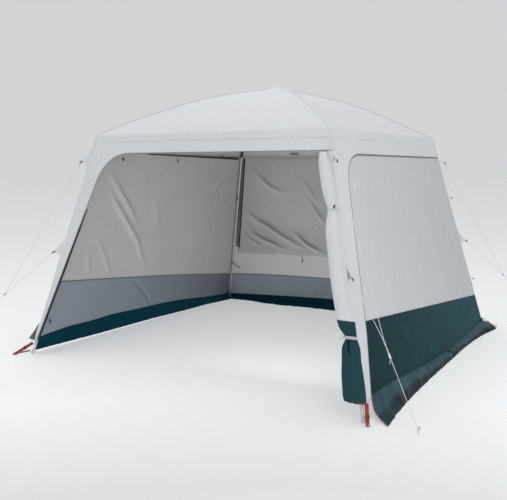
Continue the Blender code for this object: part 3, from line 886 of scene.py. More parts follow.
def rub_group():
    """Lengthwise rubs and dull patches of handled metal."""
    group, enter, leave = new_group(
        "Rubbed metal",
        [("Colour", "Color", (1, 1, 1, 1)), ("Vector", "Vector", None), ("Wear", "Float", 0.3)],
        [("Colour", "Color"), ("Roughness", "Float")],
    )
    drawn = wire(group, "ShaderNodeMapping", {"Vector": enter["Vector"], "Scale": (180.0, 180.0, 3.0)})
    streak = speckle(group, drawn.outputs[0], 1.0, 3.0)
    patch = speckle(group, enter["Vector"], 22.0, 4.0)
    share = math(group, "MULTIPLY", ramp(group, patch, 0.45, 0.75), enter["Wear"])
    dark = wire(group, "ShaderNodeHueSaturation", {"Value": 0.72, "Color": enter["Colour"]}).outputs[0]
    group.links.new(blend(group, share, enter["Colour"], dark), leave["Colour"])
    group.links.new(ramp(group, math(group, "ADD", streak, patch), 0.6, 1.4, 0.28, 0.46), leave["Roughness"])
    return group


GROUPS = {
    "Woven threads": woven_group,
    "Uneven tone": tone_group,
    "Packing creases": crease_group,
    "Ground dust": dust_group,
    "Rubbed metal": rub_group,
}


class Finish:
    """A material in the making: its tree, its shader and the two kinds of places that its patterns use."""

    def __init__(self, name, roughness, **shader_values):
        self.material = bpy.data.materials.new(name)
        self.material.use_nodes = True
        self.tree = self.material.node_tree
        self.shader = self.tree.nodes["Principled BSDF"]
        self.shader.inputs["Roughness"].default_value = roughness
        for key, value in shader_values.items():
            self.shader.inputs[key.replace("_", " ")].default_value = value
        self.space = wire(self.tree, "ShaderNodeTexCoord").outputs["Object"]
        self.flat = wire(self.tree, "ShaderNodeUVMap", uv_map="Cloth").outputs[0]
        self.normal = None

    def colour(self, socket):
        self.tree.links.new(socket, self.shader.inputs["Base Color"])

    def roughness(self, socket):
        self.tree.links.new(socket, self.shader.inputs["Roughness"])

    def bump(self, height, distance, strength=1.0):
        sockets = {"Height": height, "Distance": distance, "Strength": strength}
        if self.normal:
            sockets["Normal"] = self.normal
        self.normal = wire(self.tree, "ShaderNodeBump", sockets).outputs[0]
        self.tree.links.new(self.normal, self.shader.inputs["Normal"])

    def group(self, name, **sockets):
        """Adds one of the shared groups and gives its outputs."""
        tree = bpy.data.node_groups.get(name) or GROUPS[name]()
        sockets = {key.replace("_", " "): value for key, value in sockets.items()}
        return wire(self.tree, "ShaderNodeGroup", sockets, node_tree=tree).outputs


def cloth(name, shade, roughness, tone, tone_scale=1.6, creases=0.0012, dust=0.0, gloss=0.3, glow=0.0):
    """Coated woven polyester: fine threads, slow changes of tone and packing creases, and painted light and shade
    from its mesh's attribute.
    """
    finish = Finish(name, roughness, Specular_IOR_Level=gloss)
    base = finish.group("Uneven tone", Colour=shade, Vector=finish.space, Scale=tone_scale, Amount=tone)[0]
    fine = finish.group("Uneven tone", Colour=base, Vector=finish.flat, Scale=60.0, Amount=tone * 0.6)[0]
    if dust:
        fine = finish.group("Ground dust", Colour=fine, Vector=finish.space, Amount=dust)[0]
    if glow:
        lit = wire(finish.tree, "ShaderNodeAttribute", attribute_name="Glow").outputs["Fac"]
        value = math(finish.tree, "ADD", math(finish.tree, "MULTIPLY", lit, glow), 1.0)
        fine = wire(finish.tree, "ShaderNodeHueSaturation", {"Value": value, "Color": fine}).outputs[0]
    finish.colour(fine)
    finish.bump(finish.group("Packing creases", Vector=finish.space, Scale=5.0)[0], creases)
    finish.bump(finish.group("Woven threads", Vector=finish.flat, Threads_per_metre=1100.0)[0], 0.00012)
    sheen_map = speckle(finish.tree, finish.space, 9.0, 3.0)
    finish.roughness(ramp(finish.tree, sheen_map, 0.3, 0.7, roughness - 0.06, roughness + 0.08))
    return finish.material


def webbing(name, shade, ribs):
    """Woven webbing or cord: coarse ribs on the slant, darker in the grooves between them."""
    finish = Finish(name, 0.82, Sheen_Weight=0.25)
    turned = wire(finish.tree, "ShaderNodeMapping", {"Vector": finish.flat, "Rotation": (0, 0, radians(45))})
    rib = finish.group("Woven threads", Vector=turned.outputs[0], Threads_per_metre=ribs)[0]
    base = finish.group("Uneven tone", Colour=shade, Vector=finish.space, Scale=30.0, Amount=0.12)[0]
    dark = wire(finish.tree, "ShaderNodeHueSaturation", {"Value": 0.78, "Color": base}).outputs[0]
    finish.colour(blend(finish.tree, rib, dark, base))
    finish.bump(rib, 0.0005)
    return finish.material


def metal(name, shade, wear):
    """Coated steel tube or wire with rubs along its length."""
    finish = Finish(name, 0.36, Metallic=0.85)
    made = finish.group("Rubbed metal", Colour=shade, Vector=finish.space, Wear=wear)
    finish.colour(made[0])
    finish.roughness(made[1])
    finish.bump(speckle(finish.tree, finish.space, 260.0, 2.0), 0.00012)
    return finish.material


def plastic(name, shade, roughness, grain=0.0002):
    """Moulded plastic with a fine grain."""
    finish = Finish(name, roughness, Specular_IOR_Level=0.45)
    finish.colour(finish.group("Uneven tone", Colour=shade, Vector=finish.space, Scale=40.0, Amount=0.1)[0])
    grainy = speckle(finish.tree, finish.space, 900.0, 2.0)
    finish.bump(grainy, grain)
    finish.roughness(ramp(finish.tree, grainy, 0.3, 0.7, roughness - 0.05, roughness + 0.08))
    return finish.material


# Each finish: its kind, its colour, how much lighter than that it is, and its own values
FINISHES = {
    "roof_woven": (cloth, "roof", 1.0, dict(roughness=0.7, tone=0.035)),
    # A darker copy of the roof cloth for the roll: painted shade against the front lamp's light on it
    "roll_woven": (cloth, "roof", 0.97, dict(roughness=0.72, tone=0.05)),
    "roof_lining": (cloth, "roof_inside", 1.0, dict(roughness=0.78, tone=0.04)),
    "wall_woven": (cloth, "wall", 1.0, dict(roughness=0.74, tone=0.05, tone_scale=1.1, glow=0.3)),
    "wall_lining": (cloth, "wall_inside", 1.0, dict(roughness=0.8, tone=0.07, glow=0.35)),
    "teal_woven": (cloth, "teal", 1.0, dict(roughness=0.78, tone=0.1, dust=0.03, gloss=0.12, glow=1.0)),
    "teal_lining": (cloth, "teal_inside", 1.0, dict(roughness=0.75, tone=0.08, gloss=0.15, glow=0.45)),
    # A darkened copy of the teal cloth, for a painted fold shadow
    "teal_fold": (cloth, "teal", 0.3, dict(roughness=0.9, tone=0.1, gloss=0.02)),
    "flap_woven": (cloth, "flap", 1.0,
                   dict(roughness=0.85, tone=0.14, dust=0.02, creases=0.0022, gloss=0.03, glow=1.0)),
    "flap_outer": (cloth, "flap_outside", 1.0, dict(roughness=0.5, tone=0.18, creases=0.003, gloss=0.14, glow=1.0)),
    "curtain_woven": (cloth, "curtain", 1.0, dict(roughness=0.62, tone=0.09, creases=0.0022, glow=0.5)),
    "red_webbing": (webbing, "binding", 1.0, dict(ribs=420.0)),
    "black_tape": (webbing, "zip", 1.0, dict(ribs=600.0)),
    "grey_tape": (webbing, "piping", 1.0, dict(ribs=700.0)),
    "seam_tape": (webbing, "tape", 1.0, dict(ribs=700.0)),
    "pale_tape": (webbing, "roof", 1.0, dict(ribs=700.0)),
    "braided_cord": (webbing, "cord", 1.0, dict(ribs=260.0)),
    "thread_pale": (webbing, "roof", 1.08, dict(ribs=900.0)),
    "thread_teal": (webbing, "flap_outside", 1.0, dict(ribs=900.0)),
    "zip_teeth": (plastic, "zip", 1.0, dict(roughness=0.35)),
    "zip_teeth_grey": (plastic, "piping", 1.0, dict(roughness=0.45)),
    "leg_metal": (metal, "steel", 1.0, dict(wear=0.5)),
    "arch_metal": (metal, "steel", 1.0, dict(wear=0.3)),
    "peg_metal": (metal, "steel", 1.0, dict(wear=0.8)),
    "joint_moulding": (plastic, "plastic", 1.0, dict(roughness=0.5, grain=0.0003)),
    "toggle_moulding": (plastic, "plastic", 1.0, dict(roughness=0.4)),
}


def finish_named(name):
    known = bpy.data.materials.get(name)
    if known:
        return known
    kind, shade, gain, values = FINISHES[name]
    return kind(name, [gain * x for x in getattr(colours(), shade)], **values)


# The studio

CAMERA_PLACE = (3.031, -5.255, 1.546)
CAMERA_TURN = (83.16, 0.0, 31.79)     # degrees
CAMERA_LENS = 48.5                    # for a sensor that is SENSOR wide, both in millimetres
SENSOR = 36.0
FLOOR_REACH = 400.0
FLOOR_GLOW = 0.33 / 0.58
FLOOR_NEAR = 2.0                      # nearer than this the floor's tone stays the same


def make_stage():
    scene = bpy.context.scene
    scene.view_settings.view_transform = "Standard"
    data = bpy.data.cameras.new("camera")
    data.lens = CAMERA_LENS
    data.sensor_width = SENSOR
    data.clip_end = 1000.0
    camera = new_object("camera", data)
    camera.location = CAMERA_PLACE
    camera.rotation_euler = [radians(turn) for turn in CAMERA_TURN]
    scene.camera = camera

    mesh = bpy.data.meshes.new("studio_floor")
    with editing(mesh) as shape:
        bmesh.ops.create_circle(shape, cap_ends=True, radius=FLOOR_REACH, segments=96)
        bmesh.ops.translate(shape, verts=shape.verts, vec=(0, 0, -0.0005))
    mesh.materials.append(floor_finish())
    new_object("studio_floor", mesh)

    world = bpy.data.worlds.new("studio")
    world.use_nodes = True
    tree = world.node_tree
    tree.nodes.clear()
    seen = wire(tree, "ShaderNodeBackground", {"Color": colours().backdrop, "Strength": 1.0})
    light = wire(tree, "ShaderNodeBackground", {"Color": (1.0, 1.0, 1.0, 1.0), "Strength": 0.665})
    path = wire(tree, "ShaderNodeLightPath")
    both = wire(tree, "ShaderNodeMixShader", {
        0: path.outputs["Is Camera Ray"], 1: light.outputs[0], 2: seen.outputs[0],
    })
    wire(tree, "ShaderNodeOutputWorld", {0: both.outputs[0]})
    scene.world = world

    add_light("top_softbox", (-0.9, 0.1, 6.5), (0, 0, 1.0), (6.0, 6.0), 101.0)
    add_light("front_globe", (3.7, -3.9, 2.2), None, (2.2, 2.2), 108.0)
    add_light("doorway_fill", (0.66, -1.0, 0.95), (0.48, 1.0, 0.74), (1.0, 1.0), 5.8)


def add_light(name, place, aim, size, power):
    """A soft rectangle of light that faces its aim, or a soft globe where there is no aim."""
    data = bpy.data.lights.new(name, "AREA" if aim else "POINT")
    data.energy = power
    item = new_object(name, data)
    item.location = place
    if aim:
        data.shape = "RECTANGLE"
        data.size, data.size_y = size
        item.rotation_mode = "QUATERNION"
        item.rotation_quaternion = (Vector(aim) - Vector(place)).to_track_quat("-Z", "Y")
    else:
        data.shadow_soft_size = size[0] / 2
    item.visible_camera = False


# Painted light and shade on the floor: its tone by one over the distance in metres from the camera's foot
FLOOR_PAINTED_LIGHT = [(0.0, 0.8), (0.08, 0.93), (0.18, 1.03), (0.22, 1.03), (0.25, 0.95), (0.31, 0.8)]


def floor_finish():
    """Pale studio floor that glows a little, with painted light and shade by its distance from the camera's foot:
    darker far off and close by.
    """
    finish = Finish("studio_floor", 0.9, Specular_IOR_Level=0.1, Emission_Strength=FLOOR_GLOW)
    tree = finish.tree
    shifted = wire(tree, "ShaderNodeVectorMath", {0: finish.space, 1: (*CAMERA_PLACE[:2], 0.0)}, operation="SUBTRACT")
    away = wire(tree, "ShaderNodeVectorMath", {0: shifted.outputs[0]}, operation="LENGTH")
    near = math(tree, "DIVIDE", 1.0, math(tree, "MAXIMUM", away.outputs["Value"], FLOOR_NEAR))
    tones = wire(tree, "ShaderNodeValToRGB", {0: math(tree, "MULTIPLY", near, 3.0)})
    stops = tones.color_ramp.elements
    stops.remove(stops[1])
    for k, (place, tone) in enumerate(FLOOR_PAINTED_LIGHT):
        stop = stops.new(place * 3) if k else stops[0]
        stop.color = (*[tone * 0.9] * 3, 1.0)
    shade = wire(tree, "ShaderNodeMix", {0: 1.0, 6: colours().floor, 7: tones.outputs[0]},
                 data_type="RGBA", blend_type="MULTIPLY")
    finish.colour(shade.outputs[2])
    tree.links.new(shade.outputs[2], finish.shader.inputs["Emission Color"])
    return finish.material


# Frame parts that stay as the solids are

FRAME_FINISHES = {
    "leg_pole": "leg_metal", "roof_arch": "arch_metal", "corner_joint": "joint_moulding",
    "crown_hub": "joint_moulding", "guy_peg": "peg_metal",
}
FERRULE_HEIGHT = 0.86
FERRULE = [(0.0, 0.0004), (0.002, 0.0012), (0.01, 0.0012), (0.012, 0.0006), (0.046, 0.0006), (0.048, 0.0002)]
FOOT_CAP = [(0.0008, 0.0008), (0.003, 0.0022), (0.026, 0.002), (0.03, 0.0006)]


def dress_frame():
    """Finishes for the poles, arches, joints, hub and pegs, with a ferrule and a foot cap on each leg."""
    for node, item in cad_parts.items():
        for start, finish in FRAME_FINISHES.items():
            if node.startswith(start):
                for place in item.material_slots:
                    place.material = finish_named(finish)
    ferrules, caps = Maker("pole_ferrules"), Maker("foot_caps")
    for corner in CORNERS:
        foot, joint, out = leg_axis(corner, 0.0), leg_axis(corner, FERRULE_HEIGHT), corner_out(corner)
        axis = (leg_axis(corner, 1.0) - foot).normalized()
        ferrules.turned(joint, axis, LEG_RADIUS, FERRULE)
        ferrules.bead(joint + axis * 0.03 - out * (LEG_RADIUS + 0.001), out, 0.0035, 0.0035)
        caps.turned(foot, axis, LEG_RADIUS, FOOT_CAP)
    ferrules.finish("leg_metal", "leg_steel", smooth=30)
    caps.finish("leg_metal", "joint_plastic", smooth=30)


# Roof

ROOF_COLUMNS = 64
ROOF_ROWS = 56


def roof_rows():
    """Rows of the roof cloth from the skirt's hem to the crown."""
    rows = [("skirt", depth) for depth in steps(sizes().skirt, EAVE_FOLD, 6)]
    rows += [("fold", share) for share in steps(0, 1, 5)[1:-1]]
    return rows + [("roof", t) for t in steps(1 - EAVE_FOLD, 0, ROOF_ROWS)]


def corner_shares(count):
    """Column shares from -1 to 1, close together at the ends where the cloth turns round the legs."""
    half = steps(0, 0.97, count // 2) + [0.984, 0.989, 0.9919, 0.9946, 0.9973, 1.0]
    return [-share for share in half[:0:-1]] + half


def make_roof():
    """The four roof panels as one cloth, welded at the ridges and the crown."""
    rows, columns = roof_rows(), corner_shares(ROOF_COLUMNS)
    points, faces, welded = [], [], []
    for side in SIDES:
        faces += grid_faces(len(columns), len(rows), len(points))
        for j, row in enumerate(rows):
            for i, s in enumerate(columns):
                if i in (0, len(columns) - 1) or j == len(rows) - 1:
                    welded.append(len(points))
                points.append((roof_point(side, s, row), (s * side_size(side)[0], j * 0.025)))
    mesh = cloth_mesh("roof_canopy", points, faces)
    with editing(mesh) as shape:
        shape.verts.ensure_lookup_table()
        bmesh.ops.remove_doubles(shape, verts=[shape.verts[k] for k in welded], dist=0.0015)
    canopy = new_object("roof_canopy", mesh, ["roof_woven", "roof_lining"])
    lay_sheet(canopy, "roof_cloth", ["roof_front", "roof_right", "roof_rear", "roof_left"])
    make_ridges()


def make_ridges():
    """Felled seams over the arches, and the stitched hem of the skirt."""
    seams, lines = Maker("ridge_seams"), []
    rows = [row for row in roof_rows() if row[0] != "roof" or row[1] > EAVE_FOLD]
    for side, sign in (("front", -1), ("front", 1), ("rear", -1), ("rear", 1)):
        points = [roof_point(side, sign, row) for row in rows]
        ups, asides = [], []
        for k, point in enumerate(points):
            out = Vector((point.x, point.y, 0)).normalized()
            asides.append(UP.cross(out))
            over = ahead_at(points, k).cross(asides[-1])
            ups.append(over if over.dot(out + UP) > 0 else -over)
        seams.strip([point + up * 0.0001 for point, up in zip(points, ups)], ups, *RIDGE_SEAM)
        for shift in (-0.0042, 0.0042):
            lines.append([point + up * 0.001 + aside * shift for point, up, aside in zip(points, ups, asides)])
    seams.finish("roof_woven", "roof_cloth")
    for side in SIDES:
        for depth in (sizes().skirt - 0.004, sizes().skirt - 0.012):
            lines.append([roof_point(side, s, ("skirt", depth)) + outward(side) * 0.0002
                          for s in corner_shares(ROOF_COLUMNS)[3:-3]])
    stitches("roof_stitches", lines)


# Surrounds: fascia and leg bands round each arched cut-out

LEG_STEPS = 64
FILLET_STEPS = 24
HEAD_STEPS = 36
NEAR_RIGHT_CORNER = (0.024, 0.016, 0.012, 0.009, 0.006, 0.003, 0.0)    # the head's last stations
EAVE_TUCK = 0.013         # the fascia ends this far below the eave, under the roof's skirt
ARCH_STITCHES = (0.004, 0.0125)      # rows of stitches, from the cut-out's edge
BAND_STITCHES = (0.0175, 0.024)     # and from the middle of the leg's round


def arch_stations(side):
    """Pairs of places at the cut-out's edge and the outer edge: up the left leg band, then along the head."""
    top = slope_length(side) - EAVE_TUCK
    head = slope_length(side) - FASCIA - (RIGHT_HEAD_DROP if side == "right" else 0.0)
    low = head - ARCH_FILLET
    corner = Vector((-doorway_edge(side, head), head))
    begin = Vector((-doorway_edge(side, low), low))
    end = Vector((corner.x + ARCH_FILLET, head))
    found = []
    for v in steps(BAND_FOOT, low, LEG_STEPS)[:-1]:
        found.append((Vector((-doorway_edge(side, v), v)), Vector((-corner_reach(side, v), v))))
    for k in steps(0, 1, FILLET_STEPS)[:-1]:
        inner = begin.lerp(corner, k).lerp(corner.lerp(end, k), k)
        if k < 0.5:
            v = low + (top - low) * 2 * k
            outer = Vector((-corner_reach(side, v), v))
        else:
            reach = -corner_reach(side, top)
            outer = Vector((reach + (end.x - reach) * (2 * k - 1), top))
        found.append((inner, outer))
    run = corner_reach(side, head) - end.x
    near = [1 - distance / run for distance in NEAR_RIGHT_CORNER]
    for share in steps(0, near[0], HEAD_STEPS)[:-1] + near:
        inner = end.lerp(Vector((corner_reach(side, head), head)), share)
        outer = Vector((end.x, top)).lerp(Vector((corner_reach(side, top), top)), share)
        found.append((inner, outer))
    return found


def arch_run(side, shift, out, keep=None):
    """World points along the cut-out, shifted outwards from its edge, where keep(u, v) is true."""
    places = []
    for inner, outer in arch_stations(side):
        place = inner + (outer - inner).normalized() * shift
        if keep is None or keep(place.x, place.y):
            places.append(place)
    return [on_side(side, place.x, place.y, out) for place in places]


def surround_level(side, place, from_edge, from_outer):
    """How far the surround stands off its plane: a sewn hem at the arch, and faint pulls in the cloth."""
    hem = 0.0007 if from_edge < sizes().hem else 0.0
    free = clamp(from_edge / 0.05) * clamp(from_outer / 0.04)
    pulls = 0.0026 * ripple(place.x, place.y, SIDES[side] / 17 + 3, 3.0, 2.2 if place.y > 1.6 else 0.6)
    fine = 0.001 * ripple(place.x, place.y, SIDES[side] / 17 + 8, 11.0)
    return hem + free * (pulls + fine)


def make_surround(side):
    """The fascia and the two leg bands of a side, with rows close together at the hem and round the leg."""
    stations = arch_stations(side)
    near_edge = (0.0, 0.0012, 0.0152, 0.0168)
    near_corner = (0.018, 0.0116, 0.0087, 0.0058, 0.0029, 0.0)
    middle = 14
    rows = len(near_edge) + middle + len(near_corner) - 1

    def place(a, b):
        inner, outer = stations[round(a * (len(stations) - 1))]
        width = (outer - inner).length
        k = round(b * rows)
        if k < len(near_edge):
            from_edge = near_edge[k]
        elif k < len(near_edge) + middle:
            share = (k - len(near_edge) + 1) / (middle + 1)
            from_edge = near_edge[-1] + (width - near_corner[0] - near_edge[-1]) * share
        else:
            from_edge = width - near_corner[k - len(near_edge) - middle]
        spot = inner + (outer - inner) * (from_edge / width)
        out = surround_level(side, spot, from_edge, width - from_edge)
        return on_side(side, spot.x, spot.y, out), (spot.x, spot.y)

    item = cloth_grid(f"{side}_surround_cloth", len(stations) - 1, rows, place, ["roof_woven", "roof_lining"])
    strips = slope_length(side) + 2 * side_size(side)[0]
    lay_sheet(item, "roof_cloth", [f"{side}_surround"])


def make_sewn_band():
    """The narrow leg band behind the rolled door, to which the door is sewn."""
    head = slope_length("front") - FASCIA

    def place(a, b):
        v = BAND_FOOT + (head + 0.02 - BAND_FOOT) * b
        inner = doorway_edge("front", v, 1)
        u = inner + (corner_reach("front", v) - inner) * a
        return on_side("front", u, v, -0.0002), (u, v)

    shares = [0.0, 0.03, 0.2, 0.4] + steps(0.5, 1, 8)
    item = cloth_grid("front_sewn_band_cloth", shares, 60, place, ["roof_woven", "roof_lining"])
    lay_sheet(item, "roof_cloth", [])


def make_surrounds():
    for side in SIDES:
        make_surround(side)
    make_sewn_band()
    lines = [arch_run(side, shift, 0.0009) for side in SIDES for shift in ARCH_STITCHES]
    for side in WALLS:
        heights = steps(WALL_FOOT, slope_length(side) - FASCIA, 60)
        for shift in BAND_STITCHES:
            lines.append([on_side(side, corner_reach(side, v) - shift, v, 0.0006) for v in heights])
    stitches("surround_stitches", lines)
    make_corner_seams()


def make_corner_seams():
    """The short upright seam under each eave corner, and the gusset's slanting seam at the walls' left."""
    seams, lines = Maker("corner_gusset_seams"), []
    for side in SIDES:
        top = slope_length(side)
        low = top - FASCIA - 0.004
        reach = corner_reach(side, low)
        upright = [(corner_reach(side, v) - 0.012, v) for v in (top - 0.01, low)]
        slant = [(reach - 0.014, top - 0.118), (reach - 0.15, low - 0.058)]
        for sign in (-1, 1):
            for start, end in [upright] if side == "front" or sign > 0 else [upright, slant]:
                places = [Vector(start).lerp(Vector(end), share) for share in steps(0, 1, 10)]
                back, face = [[on_side(side, sign * place.x, place.y, out) for place in places]
                              for out in (0.0012, 0.0024)]
                seams.strip(back, outward(side), *GUSSET_SEAM)
                lines.append(face)
    seams.finish("roof_woven", "roof_cloth")
    stitches("gusset_stitches", lines)


# Walls

# Painted light: how much lighter the cloth gets towards the doorway on a side wall, and towards the right end on the
# rear one
UPPER_PAINTED_FADE = {"right": 0.25, "left": 0.03}
LOWER_PAINTED_FADE = {"right": -0.45, "rear": 0.75, "left": 0.75}

# Flat sizes of the lower walls, and of the four strips round the window, end to end
LOWER_CUT = {"right": 0.56, "rear": 0.26, "left": 0.56}
REAR_STRIPS = (0.3, 7.3)


def wall_across(side, a, v):
    """Where column share a of a wall is: it runs from behind the left leg band round to the right corner."""
    left, right = -wall_edge(side, v), corner_reach(side, v)
    return left + (right - left) * a


def wall_place(side, a, v):
    u = wall_across(side, a, v)
    return on_side(side, u, v, wall_level(side, u, v)), (u, v)


def line_at(side, a, height):
    """Slope height of the colour seam or the lower hem at column share a of a wall."""
    u = wall_across(side, a, height(side, 0))
    return height(side, wall_across(side, a, height(side, u)))


def wall_columns():
    """Column shares of a wall, close together where it turns round the leg at its right."""
    count = sizes().grid
    return steps(0, 0.992, count) + [0.9945, 0.996, 0.997, 0.998, 0.999, 1.0]


def between(share, stops):
    """A value on a broken line through evenly shared stops."""
    k = min(int(share * (len(stops) - 1)), len(stops) - 2)
    local = share * (len(stops) - 1) - k
    return stops[k] + (stops[k + 1] - stops[k]) * local


def wall_top(side, a):
    """A wall ends behind the fascia, and under the fascia's edge where it turns round the leg."""
    return wall_head(side) - WALL_OVERLAP * clamp((a - 0.985) / 0.007)


def wall_painted_light(side, fade):
    """Painted light and shade on a wall: on its folds' flanks, and a slow painted change of light along the wall."""
    aim = (0.97, -0.25 if side == "right" else 0.25)
    towards = -1 if side == "right" else 1

    def glow(u, v):
        return fade * towards * u / 1.5 + flank_painted_light(lambda x, y: wall_level(side, x, y), u, v, aim)

    return glow


def make_wall_upper(side):
    """The pale upper cloth of a wall. The rear one is a frame round the window."""

    def place(a, b):
        low = line_at(side, a, seam_height)
        return wall_place(side, a, low + (wall_top(side, a) - low) * b)

    def rear_place(a, b):
        share = between(a, [0.0, 0.04, 0.96, 1.0])
        low = line_at(side, share, seam_height)
        sill = on_line(SILL_LINE, wall_across(side, share, 0.6))
        v = between(b, [low, sill, window_head(), wall_top(side, a if a > 2 / 3 else 0.5)])
        jamb = window_edge(v)
        u = between(a, [-wall_edge(side, v), -jamb, jamb, corner_reach(side, v)])
        return on_side(side, u, v, wall_level(side, u, v)), (u, v)

    name = f"{side}_wall_upper_cloth"
    finishes = ["wall_woven", "wall_lining"]
    if side == "rear":
        across = steps(0, 1 / 3, 12)[:-1] + steps(1 / 3, 2 / 3, 44)[:-1]
        across += steps(2 / 3, 1, 12)[:10] + steps(0.93, 1, 7)
        up = steps(0, 1 / 3, 10)[:-1] + steps(1 / 3, 2 / 3, 30)[:-1] + steps(2 / 3, 1, 4)
        # Painted light on the rear wall's pale cloth below 0.72 up its slope, strongest from 0.6 down, around the
        # sill.
        item = cloth_grid(name, across, up, rear_place, finishes,
                          hole=lambda a, b: 1 / 3 < a < 2 / 3 and 1 / 3 < b < 2 / 3,
                          glow=lambda u, v: 0.7 * clamp((0.72 - v) / 0.12))
    else:
        item = cloth_grid(name, wall_columns(), sizes().grid * 3 // 5, place, finishes,
                          glow=wall_painted_light(side, UPPER_PAINTED_FADE[side]))
    cut = REAR_STRIPS if side == "rear" else (2 * edge(side, 0.3), wall_head(side) - 0.3)
    lay_sheet(item, "wall_cloth", [f"{side}_wall_upper"])


def make_wall_lower(side):
    """The teal lower cloth of a wall, from the colour seam to the lower hem."""

    def place(a, b):
        low, high = line_at(side, a, foot_height), line_at(side, a, seam_height)
        return wall_place(side, a, low + (high - low) * b)

    item = cloth_grid(f"{side}_wall_lower_cloth", wall_columns(), 30, place, ["teal_woven", "teal_lining"],
                      glow=wall_painted_light(side, LOWER_PAINTED_FADE[side]))
    cut = (2 * edge(side, WALL_FOOT), LOWER_CUT[side])
    lay_sheet(item, "teal_cloth", [f"{side}_wall_lower"])


def wall_line(side, places, out):
    """World points on a wall, out from its outer face, or in from its inner face where out is negative."""
    back = -sizes().cloth if out < 0 else 0.0
    return [on_side(side, u, v, wall_level(side, u, v) + back + out) for u, v in places]


def seam_places(side, height, shift=0.0, last=1.0):
    """Places along the colour seam or the lower hem of a wall."""
    heights = [(a, line_at(side, a, height) + shift) for a in steps(0, last, 100)]
    return [(wall_across(side, a, v), v) for a, v in heights]


def make_wall_seams():
    """A dark tape inside the colour seam, stitches along it and the hem, and the walls' bound left edges."""
    tape, edges, lines = Maker("wall_seam_tapes"), Maker("wall_edge_bindings"), []
    for side in WALLS:
        inward = -outward(side)
        tape.strip(wall_line(side, seam_places(side, seam_height, 0.0, 0.99), -0.0002), inward, *SEAM_TAPE)
        lines.append(wall_line(side, seam_places(side, seam_height, 0.005), 0.0003))
        lines.append(wall_line(side, seam_places(side, foot_height, 0.006), 0.0003))
        upright = [(0.006 - wall_edge(side, v), v) for v in steps(0.13, wall_head(side) - 0.03, 40)]
        edges.strip(wall_line(side, upright, -0.0002), inward, *WALL_BINDING)
    tape.finish("seam_tape", "wall_cloth")
    edges.finish("grey_tape", "wall_cloth")
    stitches("wall_seam_stitches", lines)


def make_walls():
    for side in WALLS:
        make_wall_upper(side)
        make_wall_lower(side)
    make_wall_seams()


# The rear window

CURTAIN_LAP = 0.016       # the curtain is larger than its opening by this much


def curtain_line(places, out):
    """World points on the curtain, out from its outer face, or in from its inner face where out is negative."""
    back = -0.0007 if out < 0 else 0.0
    return [TO_WORLD["rear"] @ Vector((u, v, curtain_level(u, v) + back + out)) for u, v in places]


def make_window():
    """The closed curtain, larger than its opening all round, with its hem."""
    head = window_head() + CURTAIN_LAP * 0.6

    def place(a, b):
        low = on_line(SILL_LINE, (2 * a - 1) * window_edge(WINDOW_SILL)) - CURTAIN_LAP
        v = low + (head - low) * b
        u = (2 * a - 1) * (window_edge(v) + CURTAIN_LAP)
        return TO_WORLD["rear"] @ Vector((u, v, curtain_level(u, v))), (u, v)

    # Painted light on the curtain: a pool of light about its middle, a little painted shade elsewhere, and light and
    # shade on its folds' flanks.
    def glow(u, v):
        middle = exp(-(((u - 0.55) / 0.42) ** 2 + ((v - 1.13) / 0.36) ** 2))
        return 0.3 * middle - 0.1 + flank_painted_light(curtain_level, u, v, (0.5, -0.866))

    item = cloth_grid("rear_window_curtain_cloth", 200, 110, place, ["curtain_woven"], glow=glow)
    cut = (2 * window_edge(0.6) + 2 * CURTAIN_LAP, head - 0.585)
    lay_sheet(item, "window_cloth", ["rear_window_curtain"], 0.7)

    hem = Maker("curtain_hem")
    half = window_edge(0.6) + CURTAIN_LAP - 0.004
    foot = [(u, on_line(SILL_LINE, u) - CURTAIN_LAP + 0.004) for u in steps(-half, half, 90)]
    hem.strip(curtain_line(foot, -0.0004), -outward("rear"), *CURTAIN_HEM)
    hem.finish("curtain_woven", "window_cloth")
    make_window_zips()


def make_window_zips():
    """The black zip down each side of the curtain, with its slider, its pull and its grey cover."""
    inward = -outward("rear")
    tapes, covers, teeth = Maker("window_zip_tapes"), Maker("window_zip_covers"), []
    heights = steps(window_head() - 0.004, WINDOW_SILL + 0.045, 60)
    for sign in (-1, 1):
        places = [(sign * (window_edge(v) + 0.006), v) for v in heights]
        beside = [(u + sign * 0.026, v) for u, v in places]
        tapes.strip(curtain_line(places, -0.0004), inward, sizes().zip_width, 0.0009)
        covers.strip(curtain_line(beside, -0.0004), inward, *CURTAIN_ZIP_COVER)
        teeth.append(curtain_line(places, -0.002))
        end = curtain_line(places[-1:], -0.003)[0]
        pull = [end, end - Vector((0, 0, 0.02)), end + Vector((sign * -0.012, 0, -0.034))]
        tapes.bead(end, UP, 0.005, 0.012)
        tapes.strip(pull, inward, *ZIP_PULL)
    tapes.finish("black_tape", "window_cloth")
    covers.finish("seam_tape", "window_cloth")
    bead_rows("window_zip_teeth", teeth, sizes().zip_pitch, CURTAIN_TOOTH, "zip_teeth", "window_cloth")


# Zips of the doorway and the walls

# The black tape inside a wall's head, as places in u and v. Its thin end towards the doorway stands for painted
# shadow under the head.
HEAD_TAPES_AND_SHADE = {
    "left": [(-1.085, 1.699), (-0.391, 1.709), (0.042, 1.716), (0.43, 1.721)],
    "right": [(-0.43, 1.701), (0.0, 1.699), (0.391, 1.699), (1.085, 1.697)],
}


